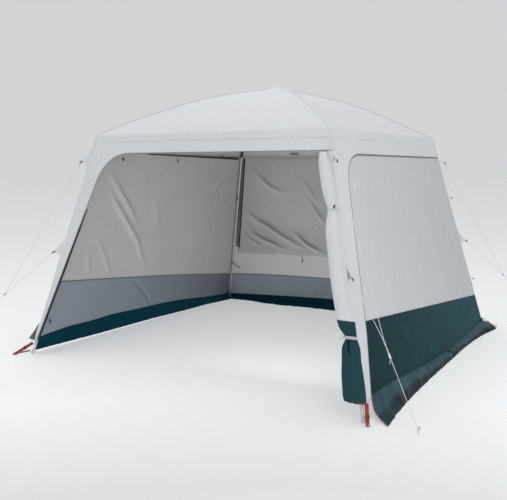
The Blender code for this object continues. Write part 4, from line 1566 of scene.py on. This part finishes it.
def make_zips():
    """Grey covered zips round the three walls outside, and black tape inside their heads, which runs on as painted
    shadow under the heads.
    """
    covers, piping, teeth = Maker("wall_zip_covers"), Maker("arch_piping"), []
    for side in WALLS:
        run = arch_run(side, -0.0045, -0.0028)
        covers.strip(run, outward(side), *WALL_ZIP_COVER)
        teeth.append([point + outward(side) * 0.0012 for point in run])
        piping.tube(arch_run(side, 0.0012, 0.0006), sizes().piping)
    covers.finish("grey_tape", "wall_cloth")
    piping.finish("grey_tape", "roof_cloth")
    bead_rows("wall_zip_teeth", teeth, sizes().zip_pitch * 1.3, WALL_TOOTH, "zip_teeth_grey", "wall_cloth")
    make_doorway_zip()

    tapes = Maker("wall_head_tapes")
    for side, line in HEAD_TAPES_AND_SHADE.items():
        places = [(u, on_line(line, u)) for u in steps(line[0][0], line[-1][0], 60)]
        widths = steps(0.03, 0.01, 60) if side == "left" else steps(0.01, 0.03, 60)
        tapes.strip(wall_line(side, places, -0.0012), -outward(side), widths, 0.0012)
    tapes.finish("black_tape", "wall_cloth")
    lap = Maker("fascia_lap")
    lap.strip([on_side("rear", u, 1.731, -0.0014) for u in (0.37, 0.423, 0.476)], -outward("rear"), *FASCIA_LAP)
    lap.finish("grey_tape", "roof_cloth")


def make_doorway_zip():
    """Piping round the doorway, and the open half of the door's zip down its left edge."""
    rim, tape = Maker("doorway_piping"), Maker("doorway_zip_tape")
    rim.tube(arch_run("front", 0.0012, 0.0006), sizes().piping)
    rim.finish("grey_tape", "roof_cloth")
    run = arch_run("front", -0.01, -0.0016, keep=lambda u, v: u < 0 and 0.11 < v < 1.25)
    widths = [0.028 - 0.018 * clamp((k - 30) / (len(run) - 31)) for k in range(len(run))]
    tape.strip(run, outward("front"), widths, 0.0014)
    tape.finish("black_tape", "roof_cloth")
    teeth = arch_run("front", -0.019, -0.0002, keep=lambda u, v: u < 0 and 0.11 < v < 1.1)
    bead_rows("doorway_zip_teeth", [teeth], sizes().zip_pitch, DOOR_TOOTH, "zip_teeth", "roof_cloth")


# Ground flaps

# Each flap's ground edge: along the side, away from the foot line and above the ground
FLAP_EDGES = {
    "right": [(-1.475, 0.134, 0.0), (-1.43, 0.135, 0.0), (-1.3, 0.118, 0.0), (-1.009, 0.092, 0.002),
              (-0.434, 0.068, 0.003), (0.123, 0.057, 0.002), (0.664, 0.049, 0.003), (1.171, 0.071, 0.0),
              (1.473, 0.117, 0.0), (1.52, 0.11, 0.0)],
    "rear": [(-1.34, -0.08, 0.0), (-0.9, -0.1, 0.0), (0.083, -0.086, 0.0), (0.482, -0.099, 0.0),
             (0.784, -0.135, 0.0), (1.025, -0.112, 0.0), (1.204, -0.089, 0.0), (1.41, -0.1, 0.0),
             (1.46, -0.02, 0.0)],
    "left": [(-1.465, -0.02, 0.0), (-1.43, -0.088, 0.0), (-0.963, -0.041, 0.0), (-0.55, -0.027, 0.0),
             (-0.197, -0.01, 0.003), (0.13, -0.006, 0.006), (0.455, -0.004, 0.007), (0.75, -0.003, 0.008),
             (1.018, -0.002, 0.012), (1.401, -0.001, 0.018), (1.48, -0.001, 0.018)],
}


def flap_point(side, a, down):
    """A point of a ground flap: a from end to end, down from the hem to the ground edge."""
    line = FLAP_EDGES[side]
    runs_out = side == "right"
    u = line[0][0] + (line[-1][0] - line[0][0]) * a
    away, height = [on_line([(spot[0], spot[n]) for spot in line], u) for n in (1, 2)]
    hem_v = foot_height(side, u) + 0.004
    low_edge = 0.01 - doorway_edge(side, hem_v) if runs_out else -wall_edge(side, 0.1)
    hem_u = low_edge + (wall_edge(side, 0.1) - low_edge) * a
    hem = TO_WORLD[side] @ Vector((hem_u, hem_v, wall_level(side, hem_u, hem_v) - (0.0 if runs_out else 0.0014)))
    turn = TO_WORLD[side].to_3x3()
    ahead, out = turn @ Vector((1, 0, 0)), turn @ UP
    out.z = 0
    out.normalize()
    seed = SIDES[side] / 13
    ruffle = ripple(u, 0.0, seed, 7.0) + 0.7 * ripple(u, 0.4, seed + 5, 17.0)
    crinkle = ripple(u - down * 0.1, down * 0.15, seed + 2, 9.0)
    crinkle += 0.45 * ripple(u + down * 0.05, down * 0.15, seed + 6, 24.0)
    notch = abs(ripple(u, 0.8, seed + 7, 31.0)) + 0.6 * abs(ripple(u, 0.2, seed + 8, 67.0))
    foot = ahead * u + out * (BASE + away * (1 + (0.05 if runs_out else 0.12) * ruffle) + 0.008 * (notch - 0.4))
    foot.z = 0.0022 + height + (0.008 * notch if side == "rear" else 0.0)
    point = hem.lerp(foot, down)
    bulge = sin(pi * down)
    if runs_out:
        fall = clamp(1 - 8 * a) * bulge
        point += out * (0.012 * bulge - 0.04 * fall) + Vector((0, 0, 0.0072 * bulge - 0.024 * fall))
    else:
        point.z -= 0.0024 * bulge
    size = (0.0085 if runs_out else 0.003) * bulge ** 0.8
    point += (out + Vector((0, 0, 0.7))) * (size * (crinkle + 0.5 * ruffle))
    lift = clamp(8 * down) * (0.008 if runs_out else 0.003)
    point.z = max(point.z + lift * max(ruffle, 0.0) * down, 0.0014 + 0.001 * (1 - down))
    return point


def flap_painted_light(u, v):
    """Painted light and shade on the right flap: light on its upper half, and painted shade on its ragged lower half,
    in a crease and in dark strokes at its front end.
    """
    up = v / 0.14
    border = 0.26 + 0.26 * ripple(u, 0.3, 2.6, 5.0) + 0.07 * ripple(u, 0.1, 4.0, 15.0)
    light = clamp((up - border) / 0.26)
    fold = 2.0 * exp(-((u - 0.23 - 0.05 * (1 - up)) / 0.03) ** 2)
    shade_strokes = clamp(-1.6 * ripple(u, 0.1 * up, 7.7, 14.0)) * clamp((-0.95 - u) / 0.12)
    return max(1.15 * light - 0.5 * (1 - light) * clamp((u + 1.3) / 0.2) - fold - 0.7 * shade_strokes, -0.75)


def make_flap(side):
    """One ground flap. It gives the two lines of stitches at its hem and its ground edge."""
    outer = side == "right"

    def place(a, b):
        return flap_point(side, a, 1 - b), ((2 * a - 1) * 1.5, 0.14 * b)

    # The left and rear flaps get even painted shade, deeper on the rear one.
    item = cloth_grid(f"{side}_ground_flap_cloth", 260, 20, place, ["flap_outer" if outer else "flap_woven"],
                      glow=flap_painted_light if outer else lambda u, v: -0.45 if side == "rear" else -0.12)
    lay_sheet(item, "flap_cloth", [f"{side}_ground_flap"])
    return [[flap_point(side, a, down) + Vector((0, 0, 0.0006)) for a in steps(0, 1, 160)] for down in (0.07, 0.92)]


def make_flaps():
    stitches("flap_stitches", [line for side in WALLS for line in make_flap(side)], "thread_teal", "flap_cloth")
    bindings, hem, gather = Maker("flap_bindings"), Maker("flap_top_hems"), Maker("flap_gathering")
    for side, a in (("right", 0.001), ("right", 0.999), ("rear", 0.001), ("left", 0.999)):
        bindings.tube([flap_point(side, a, down) for down in steps(0, 1, 14)], FLAP_BINDING)
    bindings.finish("red_webbing", "strap_webbing")
    foot = seam_places("right", foot_height)
    hem.strip(wall_line("right", [(u, v + 0.006) for u, v in foot if u > -1.3], 0.0004),
              outward("right"), *FLAP_HEM)
    hem.finish("teal_woven", "flap_cloth")
    gather.strip(wall_line("right", [(u, v + 0.016) for u, v in foot if 0.22 < u < 1.36], 0.003),
                 outward("right"), *FLAP_GATHERING)
    gather.finish("black_tape", "flap_cloth")
    gussets = Maker("foot_gussets")
    for corner in ("rear_left", "rear_right"):
        sx, sy = CORNERS[corner]
        middle = corner_point(corner, 0.046, -0.002)
        bends = ((sx * 0.09, 0, 0), (sx * 0.01, 0, 0), (0, sy * 0.01, 0), (0, sy * 0.09, 0))
        ups = [Vector(up).normalized() for up in ((0, sy, 0), (sx, 2 * sy, 0), (2 * sx, sy, 0), (sx, 0, 0))]
        gussets.strip([middle - Vector(bend) for bend in bends], ups, *FOOT_GUSSET)
    gussets.finish("flap_woven", "flap_cloth")


# The rolled door

def roll_section(stations, v):
    """Distance from the centre, half width and half depth of the roll at slope height v."""
    return [on_line([(-station[0], station[n]) for station in stations], -v) for n in (1, 2, 3)]


ROLL_EDGE = 0.55          # radians from the outer side, where the last turn of the cloth ends

# Layers of cloth at an end of the roll: share of the rim's radius, and rise above the rim
ROLL_LAYERS = [
    (0.955, 0.002), (0.92, -0.009), (0.87, -0.01), (0.84, -0.001), (0.79, -0.001), (0.76, -0.011),
    (0.7, -0.011), (0.66, -0.002), (0.6, -0.003), (0.56, -0.012), (0.48, -0.012), (0.44, -0.003),
    (0.36, -0.004), (0.32, -0.013), (0.2, -0.012), (0.06, -0.01),
]


def roll_point(stations, v, angle, out=0.0):
    """A point of the roll's skin, with its lengthwise folds, which deepen at the ties and the ends."""
    u, half_width, half_depth = roll_section(stations, v)
    near_tie = max(exp(-((v - tie) / 0.055) ** 2) for tie in ROLL_TIES)
    near_end = exp(-((v - stations[-1][0]) / 0.05) ** 2) if stations is ROLL_LOWER else 0.0
    drift = 0.5 * ripple(v, 0.0, 1.7, 4.0)
    waves = (
        0.45 * sin(3 * angle + 1.1 + 2.0 * v) + 0.35 * sin(5 * angle + 0.4 - 4.0 * v + drift)
        + 0.3 * sin(9 * angle + 2.0 + 3.0 * v + 2 * drift)
    )
    swell = 1 + (0.028 + 0.075 * near_tie + 0.06 * near_end) * waves
    swell += 0.02 * ripple(cos(angle), v * 3, 5.0 + sin(angle), 2.2)
    swell -= 0.14 * exp(-((angle - 2.15) / 0.1) ** 2 - ((v - 0.44) / 0.04) ** 2)
    last_turn = ((angle - ROLL_EDGE) % (2 * pi)) / (2 * pi)
    step = 0.004 * (1 - last_turn)
    x = u + (half_width * swell + step + out) * cos(angle)
    depth = half_depth * swell + step + out
    return TO_WORLD["front"] @ Vector((x, v, half_depth + depth * sin(angle) + 2 * GAP))


def make_roll(name, stations, rows, finish, slot, node):
    """Half of the rolled door. Its ends show the layers of the rolled cloth."""
    high, low = stations[0][0], stations[-1][0]
    turns = steps(ROLL_EDGE, ROLL_EDGE + 2 * pi, 96)[:-1]
    up = TO_WORLD["front"].to_3x3() @ Vector((0, 1, 0))

    def rim(v):
        return [roll_point(stations, v, angle) for angle in turns]

    def end_rings(v, sign):
        u, _, half_depth = roll_section(stations, v)
        centre, edge_ring = TO_WORLD["front"] @ Vector((u, v, half_depth + 2 * GAP)), rim(v)
        return [[centre.lerp(point, share) + up * (rise * sign) for point in edge_ring]
                for share, rise in ROLL_LAYERS]

    maker = Maker(name)
    maker.loft(end_rings(high, 1)[::-1] + [rim(v) for v in steps(high, low, rows)] + end_rings(low, -1))
    maker.finish(finish, slot, node, smooth=50)


def around_roll(maker, stations, v, width, out=0.0012):
    """A tie round the roll."""
    points = [roll_point(stations, v, angle, out) for angle in steps(0, 2 * pi, 48)]
    centre = sum(points[:-1], Vector()) / 48
    maker.strip(points, [(point - centre).normalized() for point in points], width, 0.0014, closed=True)


def make_door():
    """The rolled door in its two colours, with its ties, its free edge and the binding of its hem."""
    # The upper roll takes the darker copy of the roof cloth: painted shade.
    make_roll("rolled_door_upper_cloth", ROLL_UPPER, 150, "roll_woven", "wall_cloth", "rolled_door_upper")
    make_roll("rolled_door_lower_cloth", ROLL_LOWER, 90, "teal_woven", "teal_cloth", "rolled_door_lower")
    ties = Maker("door_ties")
    around_roll(ties, ROLL_UPPER, ROLL_TIES[0], 0.011)
    around_roll(ties, ROLL_LOWER, 0.512, 0.01)
    around_roll(ties, ROLL_LOWER, 0.503, 0.007, 0.0024)
    knot = roll_point(ROLL_LOWER, 0.506, 2.5, 0.004)
    for end in ((-0.03, -0.004, -0.012), (-0.012, -0.01, 0.01), (0.02, -0.01, -0.01)):
        ties.tube([knot, knot + Vector(end) * 0.5 + Vector((0, -0.003, 0)), knot + Vector(end)], DOOR_KNOT)
    for stations, v in ((ROLL_UPPER, 1.3), (ROLL_LOWER, 0.51)):
        u = edge("front", v) - 0.006
        to_leg = [on_side("front", u - 0.004, v + 0.008, 0.006), on_side("front", u, v + 0.012, 0.001)]
        ties.strip([roll_point(stations, v, 0.2, 0.002), *to_leg], outward("front"), *DOOR_TIE_END)
    ties.finish("pale_tape", "roof_cloth")

    pinch_shadow, free_edge, hem = Maker("door_pinch_fold"), Maker("door_roll_edge"), Maker("door_hem_binding")
    # A dark strip on the roll: the painted shadow of the pinch fold.
    run = [roll_point(ROLL_LOWER, 0.49 - 0.01 * k, 1.72 - 0.045 * k, 0.0006) for k in range(10)]
    pinch_shadow.strip(run, outward("front"), [0.016 - 0.00016 * k ** 2 for k in range(10)], 0.001)
    pinch_shadow.finish("teal_fold", "teal_cloth")
    run = [roll_point(ROLL_UPPER, v, ROLL_EDGE + 0.02, 0.0006) for v in steps(1.66, 0.66, 90)]
    free_edge.tube(run, DOOR_EDGE, 6)
    free_edge.finish("pale_tape", "wall_cloth")
    low = ROLL_LOWER[-1][0]
    u, _, half_depth = roll_section(ROLL_LOWER, low)
    centre = TO_WORLD["front"] @ Vector((u, low - 0.002, half_depth))
    for shrink, turns in ((1.0, (-3.0, 0.9)), (0.8, (-1.2, 2.0))):
        points = []
        for angle in steps(*turns, 32):
            rim = roll_point(ROLL_LOWER, low + 0.001 * sin(9 * angle), angle, 0.0008)
            points.append(centre.lerp(rim, shrink) - Vector((0, 0, 0.0015 * sin(7 * angle))))
        hem.tube(points, DOOR_BINDING)
    hem.finish("red_webbing", "strap_webbing")


# Guy lines

RUNNER_OUTLINE = [(1, 0.6), (0.7, 1), (-0.7, 1), (-1, 0.6), (-1, -0.6), (-0.7, -1), (0.7, -1), (1, -0.6)]
RUNNER_PROFILE = [(-0.017, 0.5), (-0.014, 0.95), (0.014, 0.95), (0.017, 0.5)]


def guy_places(corner):
    """Tips of the two tabs, the ring and the end at the peg."""
    sx, sy = CORNERS[corner]
    near = corner == "front_right"
    joint = NEAR_JOINT if near else GUY_JOINT
    peg = NEAR_PEG if near else GUY_PEG
    ring = Vector((sx * joint[0], sy * joint[1], joint[2]))
    ground = Vector((sx * peg[0], sy * peg[1], 0.02))
    low_tip = Vector(NEAR_LOW_TAB) if near else corner_point(corner, GUY_LOW, GUY_TAB)
    return corner_point(corner, GUY_TOP, GUY_TAB), low_tip, ring, ground


def straight_run(start, end, count):
    """Points from start to end at even steps."""
    return [start.lerp(end, share) for share in steps(0, 1, count)]


def guy_cord(maker, path, radius):
    """A cord that is knotted at both its ends."""
    maker.tube(path, [radius * 1.6, *[radius] * (len(path) - 2), radius * 1.6])


def wing(maker, ends, tip, sideways, tone):
    """A cloth tab sewn along a leg between two ends, hollowed towards its tip."""
    rings = []
    middle = (ends[0] + ends[1]) / 2
    for share in steps(0, 1, 12):
        centre = middle.lerp(tip, share)
        high, low = [end.lerp(tip, share).lerp(centre, 0.9 * share * (1 - share)) for end in ends]
        reach = (high - low) / 2
        if reach.length < 0.007:
            reach = (ends[0] - ends[1]).normalized() * 0.007
        rings.append([(high + low) / 2 + reach * x + sideways * y
                      for x, y in ((1, 0.0008), (-1, 0.0008), (-1, -0.0008), (1, -0.0008))])
    maker.loft(rings, tone=tone)


def make_guy_lines():
    """Forked guy lines with their tabs, rings and runners, from each corner to its peg."""
    cords, tabs, eyes = Maker("guy_ropes"), Maker("guy_tabs"), Maker("guy_tab_eyelets")
    rings, runners, loops = Maker("guy_rings"), Maker("guy_runners"), Maker("guy_tab_loops")
    radius = sizes().cord
    for corner, (sx, sy) in CORNERS.items():
        top_tip, low_tip, ring, ground = guy_places(corner)
        sideways = Vector((-sy, sx, 0)).normalized()
        top_base = 0.17 if corner == "front_left" else 0.04
        low_base = 0.1 if corner == "front_right" else 0.15
        for tip, height, base in ((top_tip, GUY_TOP, top_base), (low_tip, GUY_LOW, low_base)):
            ends = [corner_point(corner, height + base * share, -0.004) for share in (0.72, -0.28)]
            # The front right tabs take the darker wall cloth: painted shade on tabs that face the front lamp.
            wing(tabs, ends, tip, sideways, 1 if corner == "front_right" else 0)
            to_ring = (ring - tip).normalized()
            held = loops if corner == "front_left" else eyes
            root = corner_point(corner, height).lerp(tip, 0.8)
            held.strip([root, tip + to_ring * 0.004, tip + to_ring * 0.01], sideways, *TAB_LOOP)
            eye = tip + to_ring * 0.014
            eyes.ring(eye, sideways, 0.0065, 0.0024)
            guy_cord(cords, straight_run(eye + to_ring * 0.006, ring, 30), radius)
            cords.bead(eye + to_ring * 0.016, to_ring, radius * 2.3, 0.01)
        ahead = (ground - ring).normalized()
        across = ahead.cross(UP).normalized()
        over = across.cross(ahead)
        runner = ring.lerp(ground, 0.16)
        rings.ring(ring, across, 0.0085, 0.0022)
        cords.bead(ring + ahead * 0.012, ahead, radius * 2.4, 0.009)
        for shift in (-0.0035, 0.0035):
            cords.tube(straight_run(ring, runner + across * shift, 10), radius * 0.9)
        runners.loft([[runner + ahead * z + (across * (x * 0.0075) + over * (y * 0.0042)) * wide
                       for x, y in RUNNER_OUTLINE] for z, wide in RUNNER_PROFILE])
        guy_cord(cords, straight_run(runner, ground - ahead * 0.006, 30), radius)
        tail = runner + ahead * 0.02
        cords.tube([runner, tail + across * 0.006, tail + across * 0.01 - Vector((0, 0, 0.012)),
                    tail + across * 0.007 - Vector((0, 0, 0.03))], radius * 0.8)
        cords.ring(ground - ahead * 0.001 + Vector((0, 0, 0.001)), UP, 0.0062, radius * 0.9)
    cords.finish("braided_cord", "guy_cord", *[f"guy_line_{corner}" for corner in CORNERS])
    tabs.finish(["roof_woven", "wall_woven"], "roof_cloth")
    loops.finish("red_webbing", "strap_webbing")
    eyes.finish("toggle_moulding", "joint_plastic")
    rings.finish("grey_tape", "joint_plastic")
    runners.finish("braided_cord", "joint_plastic")


# Straps at the feet

def make_straps():
    """Red webbing from each corner's hem to its own wire peg, with an adjuster and a return to the foot."""
    straps, returns, buckles = Maker("corner_webbing"), Maker("strap_returns"), Maker("strap_adjusters")
    pegs, shade_patches = Maker("strap_pegs"), Maker("foot_patches")
    wide = sizes().webbing
    for corner, (sx, sy) in CORNERS.items():
        near = corner == "front_right"
        out, across = corner_out(corner), Vector((-sy, sx, 0)).normalized()
        top = corner_point(corner, STRAP_TOP, 0.003)
        if near:
            top = corner_point(corner, STRAP_TOP + 0.025, 0.003) + Vector((0.02, 0.014, 0))
        ground = corner_point(corner, 0.0, NEAR_STRAP_REACH if near else STRAP_REACH) + Vector((0, 0, 0.0035))
        tip = ground + out * 0.012
        up = (tip - top).cross(across).normalized()
        up = up if up.z > 0 else -up
        if corner == "front_left":
            up, across = across, up
        straps.strip(straight_run(top, ground, 10) + [ground + out * 0.01, tip], up, wide, 0.0018)
        if not near:
            back = straight_run(corner_point(corner, 0.03, 0.004), ground + Vector((0, 0, 0.006)), 6)
            returns.strip(back, up if corner == "front_left" else UP, wide * 0.5, 0.0014)

        middle = top.lerp(ground, 0.62 if near else 0.42) + up * 0.0026
        run, half = (ground - top).normalized(), across * (wide * 0.56)
        for shift in (-0.01, 0.0, 0.01):
            buckles.tube([middle + run * shift - half, middle + run * shift + half], 0.0013)
        for side_bar in (middle - half, middle + half):
            buckles.tube([side_bar - run * 0.011, side_bar + run * 0.011], 0.0015)
        pin = tip - out * 0.004
        hook = [pin + Vector((0, 0, z)) for z in (-0.003, 0.004, 0.009)]
        hook += [hook[-1] - out * (0.004 * (1 - cos(a))) + Vector((0, 0, 0.004 * sin(a)))
                 for a in steps(0, pi, 5)[1:]]
        pegs.tube(hook, PEG_WIRE, 10)
        # A dark wedge at each left foot: painted shade at the foot of the leg.
        if corner.endswith("left"):
            high, low = corner_point(corner, 0.26), corner_point(corner, 0.125, 0.022)
            shade_patches.strip([high, high.lerp(low, 0.5), low], up, [0.004, 0.022, 0.05], 0.0014)
    straps.finish("red_webbing", "strap_webbing", *[f"corner_strap_{corner}" for corner in CORNERS])
    returns.finish("seam_tape", "strap_webbing")
    buckles.finish("toggle_moulding", "joint_plastic")
    pegs.finish("peg_metal", "peg_steel")
    shade_patches.finish("seam_tape", "teal_cloth")


# Toggles and ties

# Toggles that hang inside: the wall, their places in u and v, and how far they hang
INSIDE_TOGGLES = [
    ("left", 0.767, 1.69, 0.016), ("left", 0.005, 1.7, 0.036), ("left", -0.743, 1.728, 0.004),
    ("left", -1.185, 1.285, 0.04), ("left", 1.35, 0.3, 0.03),
    ("rear", 0.43, 0.6, 0.052), ("rear", -0.43, 0.6, 0.052),
    ("right", -0.767, 1.675, 0.016), ("right", 0.005, 1.68, 0.036), ("right", 1.15, 1.285, 0.04),
]
POLE_TIE_HEIGHT = 0.44


def hang_toggle(cords, rods, top, drop, lean):
    """An elastic loop with a short rod at its end."""
    low = top - Vector((0, 0, drop)) + lean
    cords.tube(straight_run(top, low, 4), TOGGLE_LOOP, 6)
    rods.bead(low, Vector((0.25, 0.1, 1)), 0.0062, 0.014)


def make_toggles():
    """Toggles inside the walls and on the rear corners, and the ties that hold the rear wall to its poles."""
    cords, rods, ties = Maker("toggle_loops"), Maker("toggle_rods"), Maker("pole_ties")
    for side, u, v, drop in INSIDE_TOGGLES:
        hang_toggle(cords, rods, wall_line(side, [(u, v)], -0.012)[0], drop, -outward(side) * 0.004)
    for corner in ("rear_right", "rear_left"):
        for height in (1.265, 0.485):
            root = corner_point(corner, height, -0.002)
            tip = root + corner_out(corner) * 0.03
            cords.tube(straight_run(root, tip, 3), CORNER_LOOP, 6)
            rods.bead(tip, UP, 0.0036, 0.01)
    for corner in ("rear_left", "rear_right"):
        pole, inward = leg_axis(corner, POLE_TIE_HEIGHT), -corner_out(corner)
        ring = circle(pole, Vector((1, 0, 0)), Vector((0, 1, 0)), LEG_RADIUS + 0.0022, 24)
        ring.append(ring[0])
        ties.strip(ring, [(point - pole).normalized() for point in ring], *POLE_TIE, closed=True)
        v = slope_of("rear", POLE_TIE_HEIGHT)
        u = (0.085 - wall_edge("rear", v)) * CORNERS[corner][0]
        end = wall_line("rear", [(u, v - 0.05)], -0.006)[0]
        start = pole + inward * (LEG_RADIUS + 0.002)
        ties.strip([start, start.lerp(end, 0.5) - Vector((0, 0, 0.012)), end], -outward("rear"), *POLE_TIE_END)
    cords.finish("black_tape", "joint_plastic")
    rods.finish("toggle_moulding", "joint_plastic")
    ties.finish("seam_tape", "joint_plastic")
    make_door_tags()


def make_door_tags():
    """The small red pull at the roll's head, and the dark toggle at its upper tie."""
    pulls, toggles = Maker("red_pulls"), Maker("door_toggles")
    head = roll_point(ROLL_UPPER, 1.668, pi * 0.8, 0.004)
    pulls.strip([head, head + Vector((-0.01, -0.004, 0.006)), head + Vector((-0.022, -0.006, 0.004))],
                UP, *RED_PULL)
    pulls.finish("red_webbing", "strap_webbing")
    toggles.bead(roll_point(ROLL_UPPER, 1.318, 0.95, 0.004), Vector((0.35, 0, 1)), 0.0055, 0.014)
    toggles.finish("toggle_moulding", "joint_plastic")


# Operators

class GAZEBO_OT_stage(bpy.types.Operator):
    """Set up the camera, the lights and the pale floor"""

    bl_idname = "gazebo.stage"
    bl_label = "Studio"

    def execute(self, context):
        make_stage()
        return {"FINISHED"}


class GAZEBO_OT_frame_parts(bpy.types.Operator):
    """Finish the poles, arches, joints, hub and pegs, and add ferrules and foot caps"""

    bl_idname = "gazebo.frame_parts"
    bl_label = "Poles and joints"

    def execute(self, context):
        dress_frame()
        return {"FINISHED"}


class GAZEBO_OT_roof(bpy.types.Operator):
    """Lay the roof cloth over the crossed arches, with its ridge seams"""

    bl_idname = "gazebo.roof"
    bl_label = "Roof"

    def execute(self, context):
        make_roof()
        return {"FINISHED"}


class GAZEBO_OT_surrounds(bpy.types.Operator):
    """Make the fascia and leg bands of the four sides"""

    bl_idname = "gazebo.surrounds"
    bl_label = "Surrounds"

    def execute(self, context):
        make_surrounds()
        return {"FINISHED"}


class GAZEBO_OT_walls(bpy.types.Operator):
    """Hang the pale and teal cloth of the three walls"""

    bl_idname = "gazebo.walls"
    bl_label = "Walls"

    def execute(self, context):
        make_walls()
        return {"FINISHED"}


class GAZEBO_OT_window(bpy.types.Operator):
    """Hang the wrinkled curtain of the rear window"""

    bl_idname = "gazebo.window"
    bl_label = "Rear window"

    def execute(self, context):
        make_window()
        return {"FINISHED"}


class GAZEBO_OT_zips(bpy.types.Operator):
    """Sew in the zips, their tapes and the piping"""

    bl_idname = "gazebo.zips"
    bl_label = "Zips and piping"

    def execute(self, context):
        make_zips()
        return {"FINISHED"}


class GAZEBO_OT_flaps(bpy.types.Operator):
    """Lay the ground flaps at the foot of the walls"""

    bl_idname = "gazebo.flaps"
    bl_label = "Ground flaps"

    def execute(self, context):
        make_flaps()
        return {"FINISHED"}


class GAZEBO_OT_door(bpy.types.Operator):
    """Roll the door up beside the right leg and tie it"""

    bl_idname = "gazebo.door"
    bl_label = "Rolled door"

    def execute(self, context):
        make_door()
        return {"FINISHED"}


class GAZEBO_OT_guy_lines(bpy.types.Operator):
    """Stretch the forked guy lines from their tabs to the pegs"""

    bl_idname = "gazebo.guy_lines"
    bl_label = "Guy lines"

    def execute(self, context):
        make_guy_lines()
        return {"FINISHED"}


class GAZEBO_OT_straps(bpy.types.Operator):
    """Fit the red webbing, adjusters and small pegs at the feet"""

    bl_idname = "gazebo.straps"
    bl_label = "Corner straps"

    def execute(self, context):
        make_straps()
        return {"FINISHED"}


class GAZEBO_OT_toggles(bpy.types.Operator):
    """Hang the toggles and pole ties"""

    bl_idname = "gazebo.toggles"
    bl_label = "Toggles and ties"

    def execute(self, context):
        make_toggles()
        return {"FINISHED"}


OPERATORS = (
    GAZEBO_OT_stage, GAZEBO_OT_frame_parts, GAZEBO_OT_roof, GAZEBO_OT_surrounds, GAZEBO_OT_walls,
    GAZEBO_OT_window, GAZEBO_OT_zips, GAZEBO_OT_flaps, GAZEBO_OT_door, GAZEBO_OT_guy_lines,
    GAZEBO_OT_straps, GAZEBO_OT_toggles,
)


class GAZEBO_PT_panel(bpy.types.Panel):
    """Sizes, colours and building steps of the gazebo"""

    bl_idname = "GAZEBO_PT_panel"
    bl_label = "Camping gazebo"
    bl_space_type = "VIEW_3D"
    bl_region_type = "UI"
    bl_category = "Gazebo"

    def draw(self, context):
        layout = self.layout
        for group in (context.scene.gazebo_sizes, context.scene.gazebo_colours):
            box = layout.box()
            for name in group.bl_rna.properties.keys():
                if name not in ("rna_type", "name"):
                    box.prop(group, name)
        for step in OPERATORS:
            layout.operator(step.bl_idname)


CLASSES = (GazeboSizes, GazeboColours, *OPERATORS, GAZEBO_PT_panel)


def register():
    for item in CLASSES:
        bpy.utils.register_class(item)
    bpy.types.Scene.gazebo_sizes = PointerProperty(type=GazeboSizes)
    bpy.types.Scene.gazebo_colours = PointerProperty(type=GazeboColours)


def unregister():
    del bpy.types.Scene.gazebo_sizes
    del bpy.types.Scene.gazebo_colours
    for item in reversed(CLASSES):
        bpy.utils.unregister_class(item)


def main():
    register()
    bpy.ops.gazebo.stage()
    bpy.ops.gazebo.frame_parts()
    bpy.ops.gazebo.roof()
    bpy.ops.gazebo.surrounds()
    bpy.ops.gazebo.walls()
    bpy.ops.gazebo.window()
    bpy.ops.gazebo.zips()
    bpy.ops.gazebo.flaps()
    bpy.ops.gazebo.door()
    bpy.ops.gazebo.guy_lines()
    bpy.ops.gazebo.straps()
    bpy.ops.gazebo.toggles()


if __name__ == "__main__":
    main()
